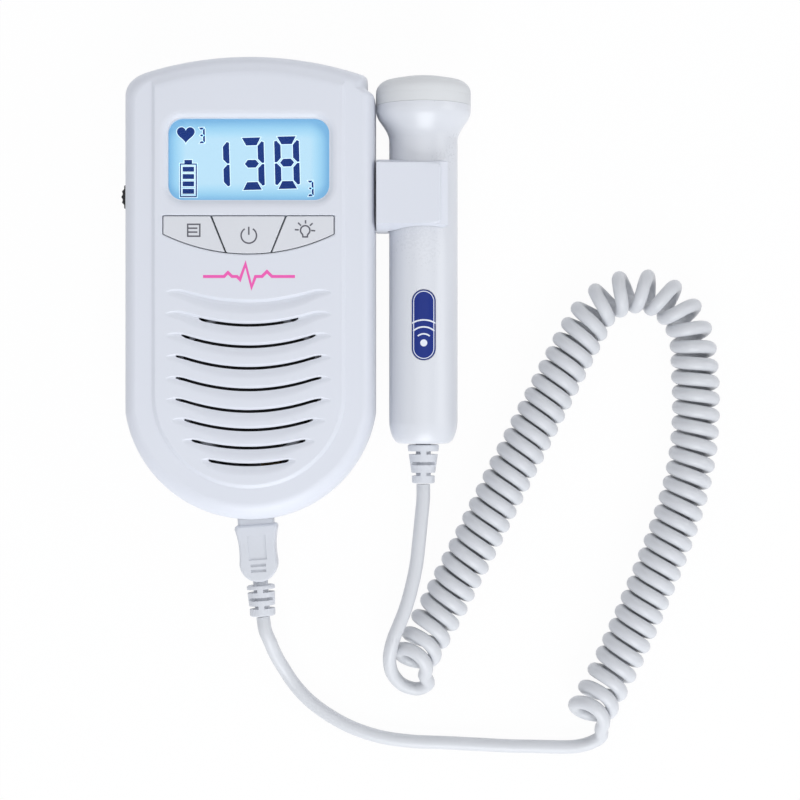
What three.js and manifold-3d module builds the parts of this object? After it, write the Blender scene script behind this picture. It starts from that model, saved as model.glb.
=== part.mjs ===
// Fetal doppler monitor: a hand-held case, a probe in the clip on its side, and the curly cord between them.
// Lengths are in millimetres. The monitor lies on its back: +X to the probe, +Y to its top, +Z out of its display.
import * as THREE from "three";
import { mergeVertices } from "three/addons/utils/BufferGeometryUtils.js";
import Module from "manifold-3d";

const wasm = await Module();
wasm.setup();

// Fits
const gap = 0.3; // between pieces that touch
const slide = 0.4; // between pieces that slide past each other
const overrun = 3; // how far a cutting solid runs past what it cuts

// Case outline
const caseX = -13.375; // the case's middle, which puts the whole monitor about evenly round x = 0
const caseWidth = 72.2;
const caseLength = 135;
const caseDepth = 30;
const caseWall = 2;
const backDepth = 15; // from the table to the parting line
const bottomRadius = 36.5;
const topRadius = 101.5;
const cornerRun = 7.2; // the rounded top left corner, across
const cornerDrop = 7.3; // and down
const notchDepth = 2.4; // the rail's open end in the right side
const notchDrop = 12.5; // from the top of the case to the rail's open end
const notchSlope = 1.6;
const notchCorner = 1.2;

// Case relief
const sideDraft = 0.35; // how far the front shell draws in from the parting line to its bevel
const footDraft = 0.25; // and how much more at the bottom end
const topDraft = 1.1; // and at the top
const bevelRun = 4;
const bevelRise = 5.4;
const bevelFoot = 1.8; // how much wider the bevel is at the bottom end
const bevelTop = 1.3; // and at the top
const panelTopRun = 0.6; // how much further the panel's top end draws in
const backBevelRun = 5;
const backBevelRise = 6;
const panelInset = 8.8; // from the case's side to the raised panel
const panelStep = 0.7;
const panelSlope = 0.6;
const panelEndRadius = 26.5;

// Display
const lensWidth = 45.4;
const lensHeight = 22.7;
const lensCorner = 4;
const lensDrop = 31.4; // from the top of the case to the middle of the window
const lensRecess = 0.8;
const windowRim = 1;
const lcdWidth = 50;
const lcdHeight = 27.6;
const lcdDepth = 1.8;
const backlightDepth = 2.6;

// Keys
const keypadWidth = 49;
const keypadDrop = 47.5; // from the top of the case
const keypadSide = 5.4;
const keypadSag = 11.1; // from its top edge to the lowest point of its rounded lower edge
const powerKeyTop = 21.5; // width of the middle key at its top
const powerKeyFoot = 12.8; // and at its foot
const keySink = 0.1; // the keys' tops below the panel
const keyTravel = 0.8;
const keyFlange = 0.8;
const keyFlangeDepth = 0.9;
const sideKeyX = 15.6;
const sideKeyDrop = 4.6; // from the keypad's top edge to the switches
const powerKeyDrop = 5.6;
const plungerRadius = 1.5;
const switchSize = 6;
const switchDepth = 3;
const switchFloor = 0.8;

// Speaker and louvres
const speakerY = -28;
const speakerRadius = 20;
const speakerFlange = 2.5;
const speakerFlangeDepth = 1.2;
const basketDepth = 5.6;
const basketWall = 0.8;
const coneRadius = 17;
const coneDrop = 4;
const coneWall = 0.6;
const magnetRadius = 10.5;
const magnetDepth = 6;
const clothDepth = 0.3;
const seatWall = 1.5; // the ring in the front case that holds the speaker
const seatDepth = 4;
const louvreLead = 23.2; // from the speaker's middle up to the first louvre
const louvrePitch = 6.15;
const louvreCount = 9;
const louvreHalf = 23.6;
const louvreRise = 3.3;
const louvreBand = 1.3;
const louvreDepth = 0.5;
const slotWidth = 0.7;
const louvreDropShares = [0, 1, 1, 1, 1, 1, 0.86, 0.84, 0.78]; // each one's drop from the one above, in pitches
const louvreLengthShares = [1, 1, 1, 1, 1, 1, 0.925, 0.8, 0.57];
const louvreRiseShares = [1, 1, 1, 1, 1, 1, 0.85, 0.62, 0.36];
const slotLengthShares = [0, 0.6, 0.81, 0.88, 0.88, 0.88, 0.84, 0.86, 0.85];
const louvreTurnShare = 0.75; // where along its half length a louvre's rise begins to ease off
const louvrePeakShare = 0.89; // and where it is highest

// Volume wheel
const wheelRadius = 6.5;
const wheelDepth = 3;
const wheelProud = 2;
const wheelDrop = 40.9; // from the top of the case
const wheelZ = 15;
const wheelTeeth = 24;
const toothDepth = 0.35;
const wheelShaftRadius = 1.5;
const potWidth = 4;
const potLength = 9;

// Boards
const boardDepth = 1.6;
const boardRoom = 0.7; // from the board's edge to the inside of the case
const boardLead = 24; // from the speaker's middle up to the board's lower edge
const boardDrop = 6.8; // from the front wall's inner face to the board's underside
const chipSize = 9;
const chipDepth = 1.2;
const audioChipLength = 6;
const audioChipWidth = 5;

// Cells
const cellRadius = 7.1;
const cellLength = 49;
const cellNubRadius = 2.7;
const cellNub = 1.4;
const bayWall = 1.4;
const bayDrop = 65.5; // from the top of the case to the bay's lower end
const springLength = 3;
const springRadius = 4.2;
const contactDepth = 0.5;
const doorPlate = 0.9;
const doorTongue = 0.9;
const doorTongueRun = 1.5;
const doorSink = 0.25; // the door's outer face above the table
const doorLap = 0.5; // how far the door runs past the bay's lower end
const gripRidges = 5;
const gripRidgeWidth = 0.8;
const gripRidgePitch = 2;
const gripWidth = 14;
const gripDepth = 0.4;

// Screws and their posts
const screwHeadRadius = 2.6;
const screwHeadDepth = 1.6;
const screwRadius = 1.3;
const screwBite = 6; // how far the screw reaches past the parting line
const postRadius = 3.6;
const screwX = 29.5;
const upperScrewDrop = 18; // from the top of the case
const lowerScrewX = 24.5;
const lowerScrewY = -45;
const screwSinkDepth = 5;

// Rail and probe holder
const railHalf = 5; // half the thickness of the rail block inside the case
const railBlock = 4.4;
const railNeckHalf = 2.6;
const railLip = 1.1;
const holderY = 26.7;
const holderLength = 20.4;
const holderPlateLength = 17.4;
const holderWall = 2.3;
const holderLip = 6.9; // how far the clip's arms reach past the probe's axis
const holderPlateReach = 4.9; // and its flat front plate

// Probe
const probeOffset = 50; // from the case's middle to the probe's axis
const probeZ = 15;
const handleRadius = 10;
const handleFootY = -45.3;
const handleCorner = 6.3;
const handleFootRadius = 8.2;
const neckY = 43.6;
const flareY = 50.3;
const headRadius = 13.85;
const seamY = 53;
const faceY = 60.4;
const faceDome = 1.5;
const headFillet = 3.6;
const probeWall = 1.8;
const capDepth = 2.2;
const capSpigot = 2.5;
const windowRadius = 9.8;
const windowDepth = 1.2;
const crystalRadius = 9.6;
const crystalDepth = 1;
const crystalSplit = 0.8;
const backingDepth = 5;
const probeBoardWidth = 12;
const probeBoardLength = 52;
const probeBoardY = -4;
const labelWidth = 6.5;
const labelLength = 20;
const labelY = -11;
const labelDepth = 0.3;
const labelProud = 0.05;

// Strain reliefs: tapered sleeves with slots that are cut in turn from the sides and from front and back
const probeReliefLength = 11.6;
const probeReliefRadius = 4.6;
const probeReliefEnd = 3.35;
const plugReliefLength = 9.4;
const plugReliefRadius = 4.15;
const plugReliefEnd = 3.75;
const reliefCore = 2.4;
const reliefCorner = 0.5;
const reliefSlots = 3;
const reliefSlot = 0.9;
const reliefSlotRise = 2.2; // from the relief's end to its first slot
const reliefBridge = 1.7;
const bridgeShare = 0.6; // of the core's radius, where the front and back slots end
const reliefRoot = 3; // how far the probe's relief reaches into the handle
const reliefCollar = 6;

// Plug and its socket
const socketX = 0.8;
const socketZ = 12;
const plugWidth = 6.8;
const plugHeight = 3;
const plugReach = 7;
const socketWall = 0.5;
const socketDepth = 8.4;
const neckWidth = 10.5;
const neckHeight = 6.4;
const neckLength = 3.2;
const neckRoom = 0.7;
const bootWidth = 12.5;
const bootLength = 17.6;
const bootHeight = 8;
const bootChamfer = 0.9;
const bootWaist = 0.7;
const bootLeanDegrees = 4;
const bootPanelWidth = 5.2;
const bootPanelLength = 7.1;
const bootPanelDepth = 0.35;
const bootPanelDrop = 3.2; // from the boot's shoulder to its panel
const bootBarWidth = 4.4;
const bootBarDepth = 0.8;
const socketBoardWidth = 15;
const socketBoardLength = 11;
const ribbonWidth = 6;
const ribbonDepth = 0.5;

// Cord
const cordDiameter = 4;
const leadSides = 10;
const coilRadius = 5.1; // from the coil's axis to the middle of the cord
const coilLift = 0.2; // the coil's underside above the table
const curlSpacing = 4.54; // along the coil's axis, on its straight stretches
const archSpacing = 0.12; // added on the arch
const archReach = 4.2; // from the axis to the middle of the cord on the arch's inner side
const looseBend = 125; // bend radius above which the coil counts as straight
const tightBend = 22; // and below which it is all arch
const pitchLook = 1; // how far ahead the pitch follows the bend
const bendLook = 5.3;
const coilSteps = 8; // to a curl
const coilSides = 5;
const endTilt = 7; // how far an end curl's underside is drawn out along the axis
const endTiltCurls = 3;
const leastCoilGap = 0.4;

// The coil's axis seen from above, from the probe's end round the arch to the plug's end.
const coilAxisRoute = [
  [35.0, -107.2], [39.2, -99.6], [43.3, -92.2], [46.6, -85.6], [50.3, -78.6], [54.2, -70.8],
  [58.6, -61.8], [63.4, -52.2], [68.3, -42.6], [73.4, -32.6], [78.6, -22.4], [83.6, -13.0],
  [89.1, -5.3], [96.9, -1.1], [105.6, -1.8], [112.4, -7.0], [115.9, -15.0], [117.1, -24.8],
  [117.4, -35.6], [116.6, -47.0], [114.5, -58.2], [111.0, -69.6], [106.8, -80.8], [102.3, -91.8],
  [97.6, -102.7], [92.6, -113.2], [86.6, -124.2],
];
// The cord from the plain lead round the end loop and up to the first curl.
const coilStartRoute = [
  [27.9, -102.7, 12.9], [26.9, -106.8, 11.5], [26.8, -110.7, 9.0], [28.0, -114.5, 5.8], [31.0, -117.7, 3.2],
  [35.2, -118.8, 2.4], [38.2, -116.9, 4.4],
];
// The cord from the coil's plug end down to the table.
const coilEndRoute = [
  [89.6, -132.6, 4.6], [86.6, -134.9, 2.6], [82.6, -136.0, 2.2], [78.2, -136.2, 2.2], [73.8, -136.1, 2.2],
];
// The plain lead from the probe's strain relief to the coil.
const probeLeadRoute = [
  [36.6, -57.2, 15.0], [36.6, -61.2, 15.0], [36.0, -67.5, 15.0], [35.4, -73.5, 15.0], [34.6, -80.5, 14.8],
  [33.2, -87.3, 14.5], [31.4, -93.7, 14.1], [29.6, -98.4, 13.7], [28.0, -102.4, 13.0],
];
// The plain lead from the plug's strain relief to the coil.
const plugLeadRoute = [
  [-10.4, -96.3, 12.0], [-9.8, -100.2, 12.0], [-8.5, -103.6, 10.8], [-7.0, -108.0, 7.4], [-4.8, -112.4, 4.3],
  [-2.0, -117.0, 2.7], [2.2, -121.8, 2.2], [8.2, -126.4, 2.2], [15.6, -130.4, 2.2], [24.2, -133.2, 2.2],
  [33.5, -134.5, 2.2], [43.0, -134.9, 2.2], [53.0, -135.4, 2.2], [63.0, -135.9, 2.2], [69.3, -136.0, 2.2],
  [73.5, -136.1, 2.2],
];

// Places worked out from the sizes
const halfLength = caseLength / 2;
const wheelReach = caseWidth / 2 + wheelProud;
const probeX = caseX + probeOffset;
const bottomCentreY = bottomRadius - halfLength;
const ledgeZ = caseDepth - panelStep;
const ceilingZ = ledgeZ - caseWall;
const frontFootZ = backDepth + gap / 2;
const backTopZ = backDepth - gap / 2;
const lensTopZ = caseDepth - lensRecess;
const boardZ = ceilingZ - boardDrop;
const boardTopZ = boardZ + boardDepth;
const lensCentreY = halfLength - lensDrop;
const keypadTopY = halfLength - keypadDrop;
const sideKeyY = keypadTopY - sideKeyDrop;
const powerKeyY = keypadTopY - powerKeyDrop;
const boardFootY = speakerY + boardLead;
const wheelY = halfLength - wheelDrop;
const bayFootY = halfLength - bayDrop;
const doorFootY = bayFootY - doorLap;
const louvreTopY = speakerY + louvreLead;
const upperScrewY = halfLength - upperScrewDrop;

// Colours
const paint = (color, roughness, metalness = 0) => new THREE.MeshStandardMaterial({ color, roughness, metalness });
const whiteShell = paint(0xd8dce6, 0.45);
const probeShell = paint(0xdcdfe6, 0.4);
const capGrey = paint(0xccd0d3, 0.6);
const clearWindow = paint(0xa9d8f5, 0.1);
const displayBlue = paint(0x8ecbf0, 0.4);
const backlightWhite = paint(0xe8f4fb, 0.5);
const keyWhite = paint(0xdadde4, 0.5);
const blackPlastic = paint(0x17181a, 0.6);
const boardGreen = paint(0x1f6b43, 0.6);
const chipBlack = paint(0x202124, 0.5);
const steel = paint(0xb9bcc0, 0.3, 1);
const brass = paint(0xc9a24b, 0.3, 1);
const magnetGrey = paint(0x55585c, 0.5, 0.6);
const paperBlack = paint(0x2a2a2c, 0.9);
const labelBlue = paint(0x273a93, 0.4);
const ceramic = paint(0xb8a27a, 0.6);
const foamGrey = paint(0x6b6f73, 0.9);
const cellWrap = paint(0x3d6fb5, 0.4);
const cordWhite = paint(0xd9dce4, 0.5);

// Geometry helpers

function toSolid(geometry) {
  const bare = new THREE.BufferGeometry().setAttribute("position", geometry.getAttribute("position").clone());
  if (geometry.index) bare.setIndex(geometry.index.clone());
  const merged = mergeVertices(bare);
  return new wasm.Manifold(
    new wasm.Mesh({
      numProp: 3,
      vertProperties: merged.attributes.position.array,
      triVerts: new Uint32Array(merged.index.array),
    }),
  );
}

function toGeometry(solid) {
  const mesh = solid.getMesh();
  return new THREE.BufferGeometry()
    .setAttribute("position", new THREE.BufferAttribute(new Float32Array(mesh.vertProperties), 3))
    .setIndex(new THREE.BufferAttribute(new Uint32Array(mesh.triVerts), 1));
}

const join = (first, ...others) => toGeometry(others.reduce((sum, g) => sum.add(toSolid(g)), toSolid(first)));
const cut = (first, ...tools) => toGeometry(tools.reduce((rest, g) => rest.subtract(toSolid(g)), toSolid(first)));
const common = (first, second) => toGeometry(toSolid(first).intersect(toSolid(second)));

// A block between two opposite corners.
function block([x0, y0, z0], [x1, y1, z1]) {
  return new THREE.BoxGeometry(x1 - x0, y1 - y0, z1 - z0).translate((x0 + x1) / 2, (y0 + y1) / 2, (z0 + z1) / 2);
}

// A flat outline raised from one height to another.
function slab(outline, fromZ, toZ) {
  const shape = outline instanceof THREE.Shape ? outline : new THREE.Shape(outline);
  return new THREE.ExtrudeGeometry(shape, { depth: toZ - fromZ, bevelEnabled: false, curveSegments: 4 }).translate(
    0,
    0,
    fromZ,
  );
}

// A disc or post along Z.
function post(radius, x, y, fromZ, toZ, sides = 16) {
  return new THREE.CylinderGeometry(radius, radius, toZ - fromZ, sides)
    .rotateX(Math.PI / 2)
    .translate(x, y, (fromZ + toZ) / 2);
}

// A turned piece along Y, from a closed profile of [radius, y].
function turned(profile, sides) {
  const points = profile.map(([r, y]) => new THREE.Vector2(r, y));
  if (THREE.ShapeUtils.area(points) < 0) points.reverse();
  if (points[0].x > 0) points.push(points[0].clone());
  return new THREE.LatheGeometry(points, sides);
}

// A turned piece along Z, from a closed profile of [radius, z].
const turnedUp = (profile, sides) => turned(profile, sides).rotateX(Math.PI / 2);

function roundedRectangle(width, height, radius, y = 0) {
  const w = width / 2;
  const h = height / 2;
  const quarter = Math.PI / 2;
  return new THREE.Shape()
    .absarc(w - radius, y + h - radius, radius, 0, quarter)
    .absarc(radius - w, y + h - radius, radius, quarter, 2 * quarter)
    .absarc(radius - w, y + radius - h, radius, 2 * quarter, 3 * quarter)
    .absarc(w - radius, y + radius - h, radius, 3 * quarter, 4 * quarter);
}

// A closed body through flat rings of as many points each, from the lowest ring to the highest.
function loft(rings) {
  const count = rings[0].points.length;
  const places = rings.flatMap(({ points, z }) => points.flatMap((p) => [p.x, p.y, z]));
  const faces = [];
  for (let k = 0; k + 1 < rings.length; k++)
    for (let i = 0; i < count; i++) {
      const [a, b] = [k * count + i, k * count + ((i + 1) % count)];
      faces.push(a, b, b + count, a, b + count, a + count);
    }
  const last = (rings.length - 1) * count;
  for (const [a, b, c] of THREE.ShapeUtils.triangulateShape(rings[0].points, [])) faces.push(c, b, a);
  for (const [a, b, c] of THREE.ShapeUtils.triangulateShape(rings.at(-1).points, []))
    faces.push(last + a, last + b, last + c);
  return new THREE.BufferGeometry()
    .setAttribute("position", new THREE.BufferAttribute(new Float32Array(places), 3))
    .setIndex(faces);
}

// One unbroken tube along a list of points, with flat ends square to its first and last runs.
function tubeThrough(points, radius, sides) {
  const places = [];
  const faces = [];
  const side = new THREE.Vector3(1, 0, 0);
  points.forEach((p, i) => {
    const before = points[Math.max(0, i - 1)];
    const after = points[Math.min(points.length - 1, i + 1)];
    const ahead = after.clone().sub(before).normalize();
    side.addScaledVector(ahead, -side.dot(ahead)).normalize();
    const other = ahead.clone().cross(side);
    for (let n = 0; n < sides; n++) {
      const turn = (2 * Math.PI * n) / sides;
      const rim = p.clone().addScaledVector(side, radius * Math.cos(turn));
      places.push(...rim.addScaledVector(other, radius * Math.sin(turn)).toArray());
    }
    if (i === 0) return;
    for (let n = 0; n < sides; n++) {
      const [a, b] = [(i - 1) * sides + n, (i - 1) * sides + ((n + 1) % sides)];
      faces.push(a, b, b + sides, a, b + sides, a + sides);
    }
  });
  const last = (points.length - 1) * sides;
  for (let n = 1; n + 1 < sides; n++) faces.push(0, n + 1, n, last, last + n, last + n + 1);
  return new THREE.BufferGeometry()
    .setAttribute("position", new THREE.BufferAttribute(new Float32Array(places), 3))
    .setIndex(faces);
}

const group = new THREE.Group();
const caseGroup = new THREE.Group();
caseGroup.position.x = caseX;
const probeGroup = new THREE.Group();
probeGroup.position.set(probeX, 0, probeZ);
group.add(caseGroup, probeGroup);

function place(parent, name, geometry, material) {
  const mesh = new THREE.Mesh(geometry, material);
  mesh.name = name;
  parent.add(mesh);
  return mesh;
}

// Case shells

const arcSteps = 22;
const topSteps = 8;
const cornerSteps = 4;

// Height of the top edge at x, on an outline drawn in by an inset.
function topEdgeY(x, inset) {
  return halfLength - topRadius + Math.sqrt((topRadius - inset) ** 2 - x ** 2);
}

// The case's outline drawn in by an inset, and further in at the bottom end and at the top; counter-clockwise.
function caseOutline(inset, footInset = 0, topInset = 0) {
  const half = caseWidth / 2 - inset;
  const points = [];
  const across = (bottomRadius * half) / (caseWidth / 2);
  const down = bottomRadius - inset - footInset;
  const sweep = Math.asin(caseWidth / 2 / bottomRadius);
  for (let i = 0; i <= arcSteps; i++) {
    const turn = sweep * ((2 * i) / arcSteps - 1);
    points.push(new THREE.Vector2(across * Math.sin(turn), bottomCentreY - down * Math.cos(turn)));
  }
  const topY = (x) => topEdgeY(x, inset + topInset);
  const notchX = half - notchDepth;
  points.push(new THREE.Vector2(half, halfLength - notchDrop));
  points.push(new THREE.Vector2(notchX, halfLength - notchDrop + notchSlope));
  points.push(new THREE.Vector2(notchX, topY(notchX) - notchCorner));
  const cornerX = cornerRun - half;
  const topStart = notchX - notchCorner;
  for (let i = 0; i <= topSteps; i++) {
    const x = topStart + ((cornerX - topStart) * i) / topSteps;
    points.push(new THREE.Vector2(x, topY(x)));
  }
  const corner = new THREE.QuadraticBezierCurve(
    new THREE.Vector2(cornerX, topY(cornerX)),
    new THREE.Vector2(-half, topY(cornerX) - (cornerRun * cornerX) / -topRadius),
    new THREE.Vector2(-half, topY(cornerX) - cornerDrop),
  );
  return points.concat(corner.getPoints(cornerSteps).slice(1));
}

// The raised panel: its sides run up past the top of the case, its lower end is round.
function panelOutline(inset) {
  const half = caseWidth / 2 - panelInset - inset;
  const end = panelEndRadius - inset;
  const points = [];
  for (let i = 0; i <= arcSteps; i++) {
    const turn = (Math.PI / 2) * ((2 * i) / arcSteps - 1);
    points.push(new THREE.Vector2(half * Math.sin(turn), bottomCentreY - end * Math.cos(turn)));
  }
  points.push(new THREE.Vector2(half, halfLength + overrun), new THREE.Vector2(-half, halfLength + overrun));
  return points;
}

const bevelStartZ = ledgeZ - bevelRise;
const cavityBevel = caseWall * 0.8;

// The bevel's outline, from its outer edge to its inner one, by shares of its run and of its extra run at the ends.
function bevelOutline(share, endShare) {
  const inset = THREE.MathUtils.lerp(sideDraft, bevelRun, share);
  const footInset = THREE.MathUtils.lerp(footDraft, bevelFoot, endShare);
  return caseOutline(inset, footInset, THREE.MathUtils.lerp(topDraft, bevelTop, endShare));
}

function frontBody() {
  const shell = loft([
    { points: caseOutline(0), z: frontFootZ },
    { points: bevelOutline(0, 0), z: bevelStartZ },
    { points: bevelOutline(0.12, 0.2), z: bevelStartZ + bevelRise * 0.42 },
    { points: bevelOutline(0.45, 0.6), z: bevelStartZ + bevelRise * 0.78 },
    { points: bevelOutline(1, 1), z: ledgeZ },
    { points: caseOutline(bevelRun + panelStep, bevelFoot, bevelTop + panelTopRun), z: caseDepth },
  ]);
  const panel = loft([
    { points: panelOutline(0), z: ledgeZ - overrun },
    { points: panelOutline(0), z: ledgeZ },
    { points: panelOutline(panelSlope), z: caseDepth },
    { points: panelOutline(panelSlope), z: caseDepth + 2 * overrun },
  ]);
  const above = block([-caseWidth, -caseLength, ledgeZ], [caseWidth, caseLength, caseDepth + overrun]);
  const hollow = loft([
    { points: caseOutline(caseWall), z: frontFootZ - overrun },
    { points: caseOutline(caseWall + sideDraft, footDraft, topDraft), z: bevelStartZ - caseWall / 2 },
    { points: caseOutline(caseWall + bevelRun * 0.45, bevelFoot, bevelTop), z: ceilingZ - cavityBevel },
    { points: caseOutline(caseWall + bevelRun, bevelFoot, bevelTop), z: ceilingZ },
  ]);
  return cut(shell, hollow, cut(above, panel));
}

function backBody() {
  const shell = loft([
    { points: caseOutline(backBevelRun), z: 0 },
    { points: caseOutline(backBevelRun * 0.5), z: backBevelRise * 0.3 },
    { points: caseOutline(backBevelRun * 0.12), z: backBevelRise * 0.7 },
    { points: caseOutline(0), z: backBevelRise },
    { points: caseOutline(0), z: backTopZ },
  ]);
  const hollow = loft([
    { points: caseOutline(caseWall + backBevelRun), z: caseWall },
    { points: caseOutline(caseWall + backBevelRun * 0.2), z: caseWall + backBevelRise * 0.6 },
    { points: caseOutline(caseWall), z: caseWall + backBevelRise },
    { points: caseOutline(caseWall), z: backTopZ + overrun },
  ]);
  return cut(shell, hollow);
}

const screwPlaces = [
  [-screwX, upperScrewY],
  [screwX, upperScrewY],
  [-lowerScrewX, lowerScrewY],
  [lowerScrewX, lowerScrewY],
];

// Rail in the right side, shared by both shells.
const railFootY = holderY - holderLength / 2 - slide;
const railTopY = halfLength - notchDrop + notchSlope;
const sideX = caseWidth / 2;
const railSolid = () =>
  block(
    [sideX - railBlock, railFootY - caseWall, probeZ - railHalf],
    [sideX - gap, halfLength - notchDrop - gap, probeZ + railHalf],
  );
const railSlotHalf = railHalf - railLip - slide;
const railSlot = () => [
  block(
    [sideX - notchDepth, railFootY, probeZ - railSlotHalf],
    [sideX - railLip, railTopY, probeZ + railSlotHalf],
  ),
  block(
    [sideX - railLip - gap, railFootY, probeZ - railNeckHalf - slide],
    [sideX + overrun, railTopY, probeZ + railNeckHalf + slide],
  ),
];

// Opening for the volume wheel in the left side, shared by both shells.
const wheelX = wheelRadius - wheelReach;
const wheelSlotHalf = Math.sqrt(wheelRadius ** 2 - (sideX - caseWall + wheelX) ** 2) + slide;
const wheelSlot = () =>
  block(
    [-sideX - overrun, wheelY - wheelSlotHalf, wheelZ - wheelDepth / 2 - slide],
    [caseWall + overrun - sideX, wheelY + wheelSlotHalf, wheelZ + wheelDepth / 2 + slide],
  );

// Keypad outlines
const keypadArcRadius = ((keypadWidth / 2) ** 2 + (keypadSag - keypadSide) ** 2) / (2 * (keypadSag - keypadSide));
const keypadEdgeY = (x) => keypadTopY - keypadSag + keypadArcRadius - Math.sqrt(keypadArcRadius ** 2 - x ** 2);
const keyArcSteps = 5;
const edge = keypadWidth / 2;

// The x of a key's slanted side at a height on the keypad, from its x at the top and at the foot.
const sideXAt = ([top, foot], y) => top + ((foot - top) * (keypadTopY - y)) / (keypadTopY - keypadEdgeY(foot));

// A key between two slanted sides, each given as [x at the top, x at the foot], drawn in at its edges.
function keyOutline(left, right, [shrinkLeft, shrinkRight], shrinkEnds) {
  const inLeft = left.map((x) => x + shrinkLeft);
  const inRight = right.map((x) => x - shrinkRight);
  const fromX = sideXAt(inLeft, keypadEdgeY(left[1]) + shrinkEnds);
  const toX = sideXAt(inRight, keypadEdgeY(right[1]) + shrinkEnds);
  const points = [];
  for (let i = 0; i <= keyArcSteps; i++) {
    const x = fromX + ((toX - fromX) * i) / keyArcSteps;
    points.push(new THREE.Vector2(x, keypadEdgeY(THREE.MathUtils.clamp(x, -edge, edge)) + shrinkEnds));
  }
  const topY = keypadTopY - shrinkEnds;
  points.push(new THREE.Vector2(sideXAt(inRight, topY), topY), new THREE.Vector2(sideXAt(inLeft, topY), topY));
  return points;
}

const keys = [
  { name: "menu", x: -sideKeyX, y: sideKeyY, left: [-edge, -edge], right: [-powerKeyTop / 2, -powerKeyFoot / 2] },
  {
    name: "power",
    x: 0,
    y: powerKeyY,
    left: [-powerKeyTop / 2, -powerKeyFoot / 2],
    right: [powerKeyTop / 2, powerKeyFoot / 2],
  },
  { name: "light", x: sideKeyX, y: sideKeyY, left: [powerKeyTop / 2, powerKeyFoot / 2], right: [edge, edge] },
];
const keypadHole = () => slab(keyOutline([-edge, -edge], [edge, edge], [0, 0], 0), ceilingZ - overrun, caseDepth + overrun);

// Louvres
const louvres = louvreLengthShares.slice(0, louvreCount).map((lengthShare, i) => ({
  y: louvreTopY - louvrePitch * louvreDropShares.slice(0, i + 1).reduce((sum, share) => sum + share, 0),
  half: louvreHalf * lengthShare,
  rise: louvreRise * louvreRiseShares[i],
  slotHalf: louvreHalf * lengthShare * slotLengthShares[i],
}));

// A louvre's height at x: a parabola that eases off near its ends and turns down a little past its peak.
function louvreY({ y, half, rise }, x) {
  const along = Math.abs(x) / half;
  const past = Math.max(0, along - louvreTurnShare);
  const ease = (past ** 2 / louvrePeakShare) * (1 / louvreTurnShare + 1 / (louvrePeakShare - louvreTurnShare));
  return y + rise * (along ** 2 / (louvreTurnShare * louvrePeakShare) - ease);
}
const louvreSteps = 12;

// A band that follows a louvre, from one height to another; it thins out to nothing much at its ends.
function louvreBandOutline(louvre, half, above, below, endShare) {
  const lower = [];
  const upper = [];
  for (let i = 0; i <= louvreSteps; i++) {
    const x = half * ((2 * i) / louvreSteps - 1);
    const share = endShare + (1 - endShare) * Math.sqrt(Math.max(0, 1 - (x / half) ** 2));
    lower.push(new THREE.Vector2(x, louvreY(louvre, x) - below * share));
    upper.unshift(new THREE.Vector2(x, louvreY(louvre, x) + above * share));
  }
  return lower.concat(upper);
}

function frontCase() {
  const additions = [railSolid()];
  for (const [x, y] of screwPlaces) additions.push(post(postRadius, x, y, frontFootZ, ceilingZ + gap));
  const seatInner = speakerRadius + gap;
  additions.push(
    turnedUp(
      [
        [seatInner, ceilingZ - seatDepth],
        [seatInner + seatWall, ceilingZ - seatDepth],
        [seatInner + seatWall, ceilingZ + gap],
        [seatInner, ceilingZ + gap],
      ],
      32,
    ).translate(0, speakerY, 0),
  );
  const holes = [...railSlot(), wheelSlot(), keypadHole()];
  const lowCut = block([sideX - railBlock - overrun, -halfLength, 0], [sideX + overrun, halfLength, frontFootZ]);
  holes.push(lowCut);
  holes.push(
    slab(
      roundedRectangle(lensWidth + 2 * gap, lensHeight + 2 * gap, lensCorner + gap, lensCentreY),
      ceilingZ - overrun,
      caseDepth + overrun,
    ),
  );
  holes.push(windowRimCut());
  for (const [x, y] of screwPlaces)
    holes.push(post(screwRadius + gap, x, y, frontFootZ - overrun, backDepth + screwBite + gap));
  for (const louvre of louvres) {
    const groove = louvreBandOutline(louvre, louvre.half, gap / 2, louvreBand, 0.15);
    holes.push(slab(groove, caseDepth - louvreDepth, caseDepth + overrun));
    if (louvre.slotHalf === 0) continue;
    const slot = louvreBandOutline(louvre, louvre.slotHalf, 0, slotWidth, 0.7);
    holes.push(slab(slot, ceilingZ - overrun, caseDepth + overrun));
  }
  return cut(join(frontBody(), ...additions), ...holes);
}

// The slanted rim round the display window.
function windowRimCut() {
  const ring = (grow, z) => ({
    points: roundedRectangle(lensWidth + 2 * grow, lensHeight + 2 * grow, lensCorner + grow, lensCentreY).getPoints(4),
    z,
  });
  const rings = [ring(gap, lensTopZ - gap), ring(gap + windowRim, caseDepth), ring(gap + windowRim, caseDepth + overrun)];
  for (const r of rings) r.points = r.points.filter((p, i, all) => i === 0 || p.distanceTo(all[i - 1]) > 0);
  return loft(rings);
}

// Cell bay
const bayHalf = 2 * cellRadius + 2 * gap;
const bayLength = cellLength + cellNub + springLength + 2 * contactDepth + 4 * gap;
const bayTopY = bayFootY + bayLength;
const doorInnerZ = doorSink + doorPlate + doorTongue;
const cellZ = doorInnerZ + 2 * gap + cellRadius;
const bayRoofZ = cellZ + cellRadius + gap;
const doorHalf = bayHalf - doorTongueRun / 2;
const doorTopY = topEdgeY(0, backBevelRun);

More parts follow.
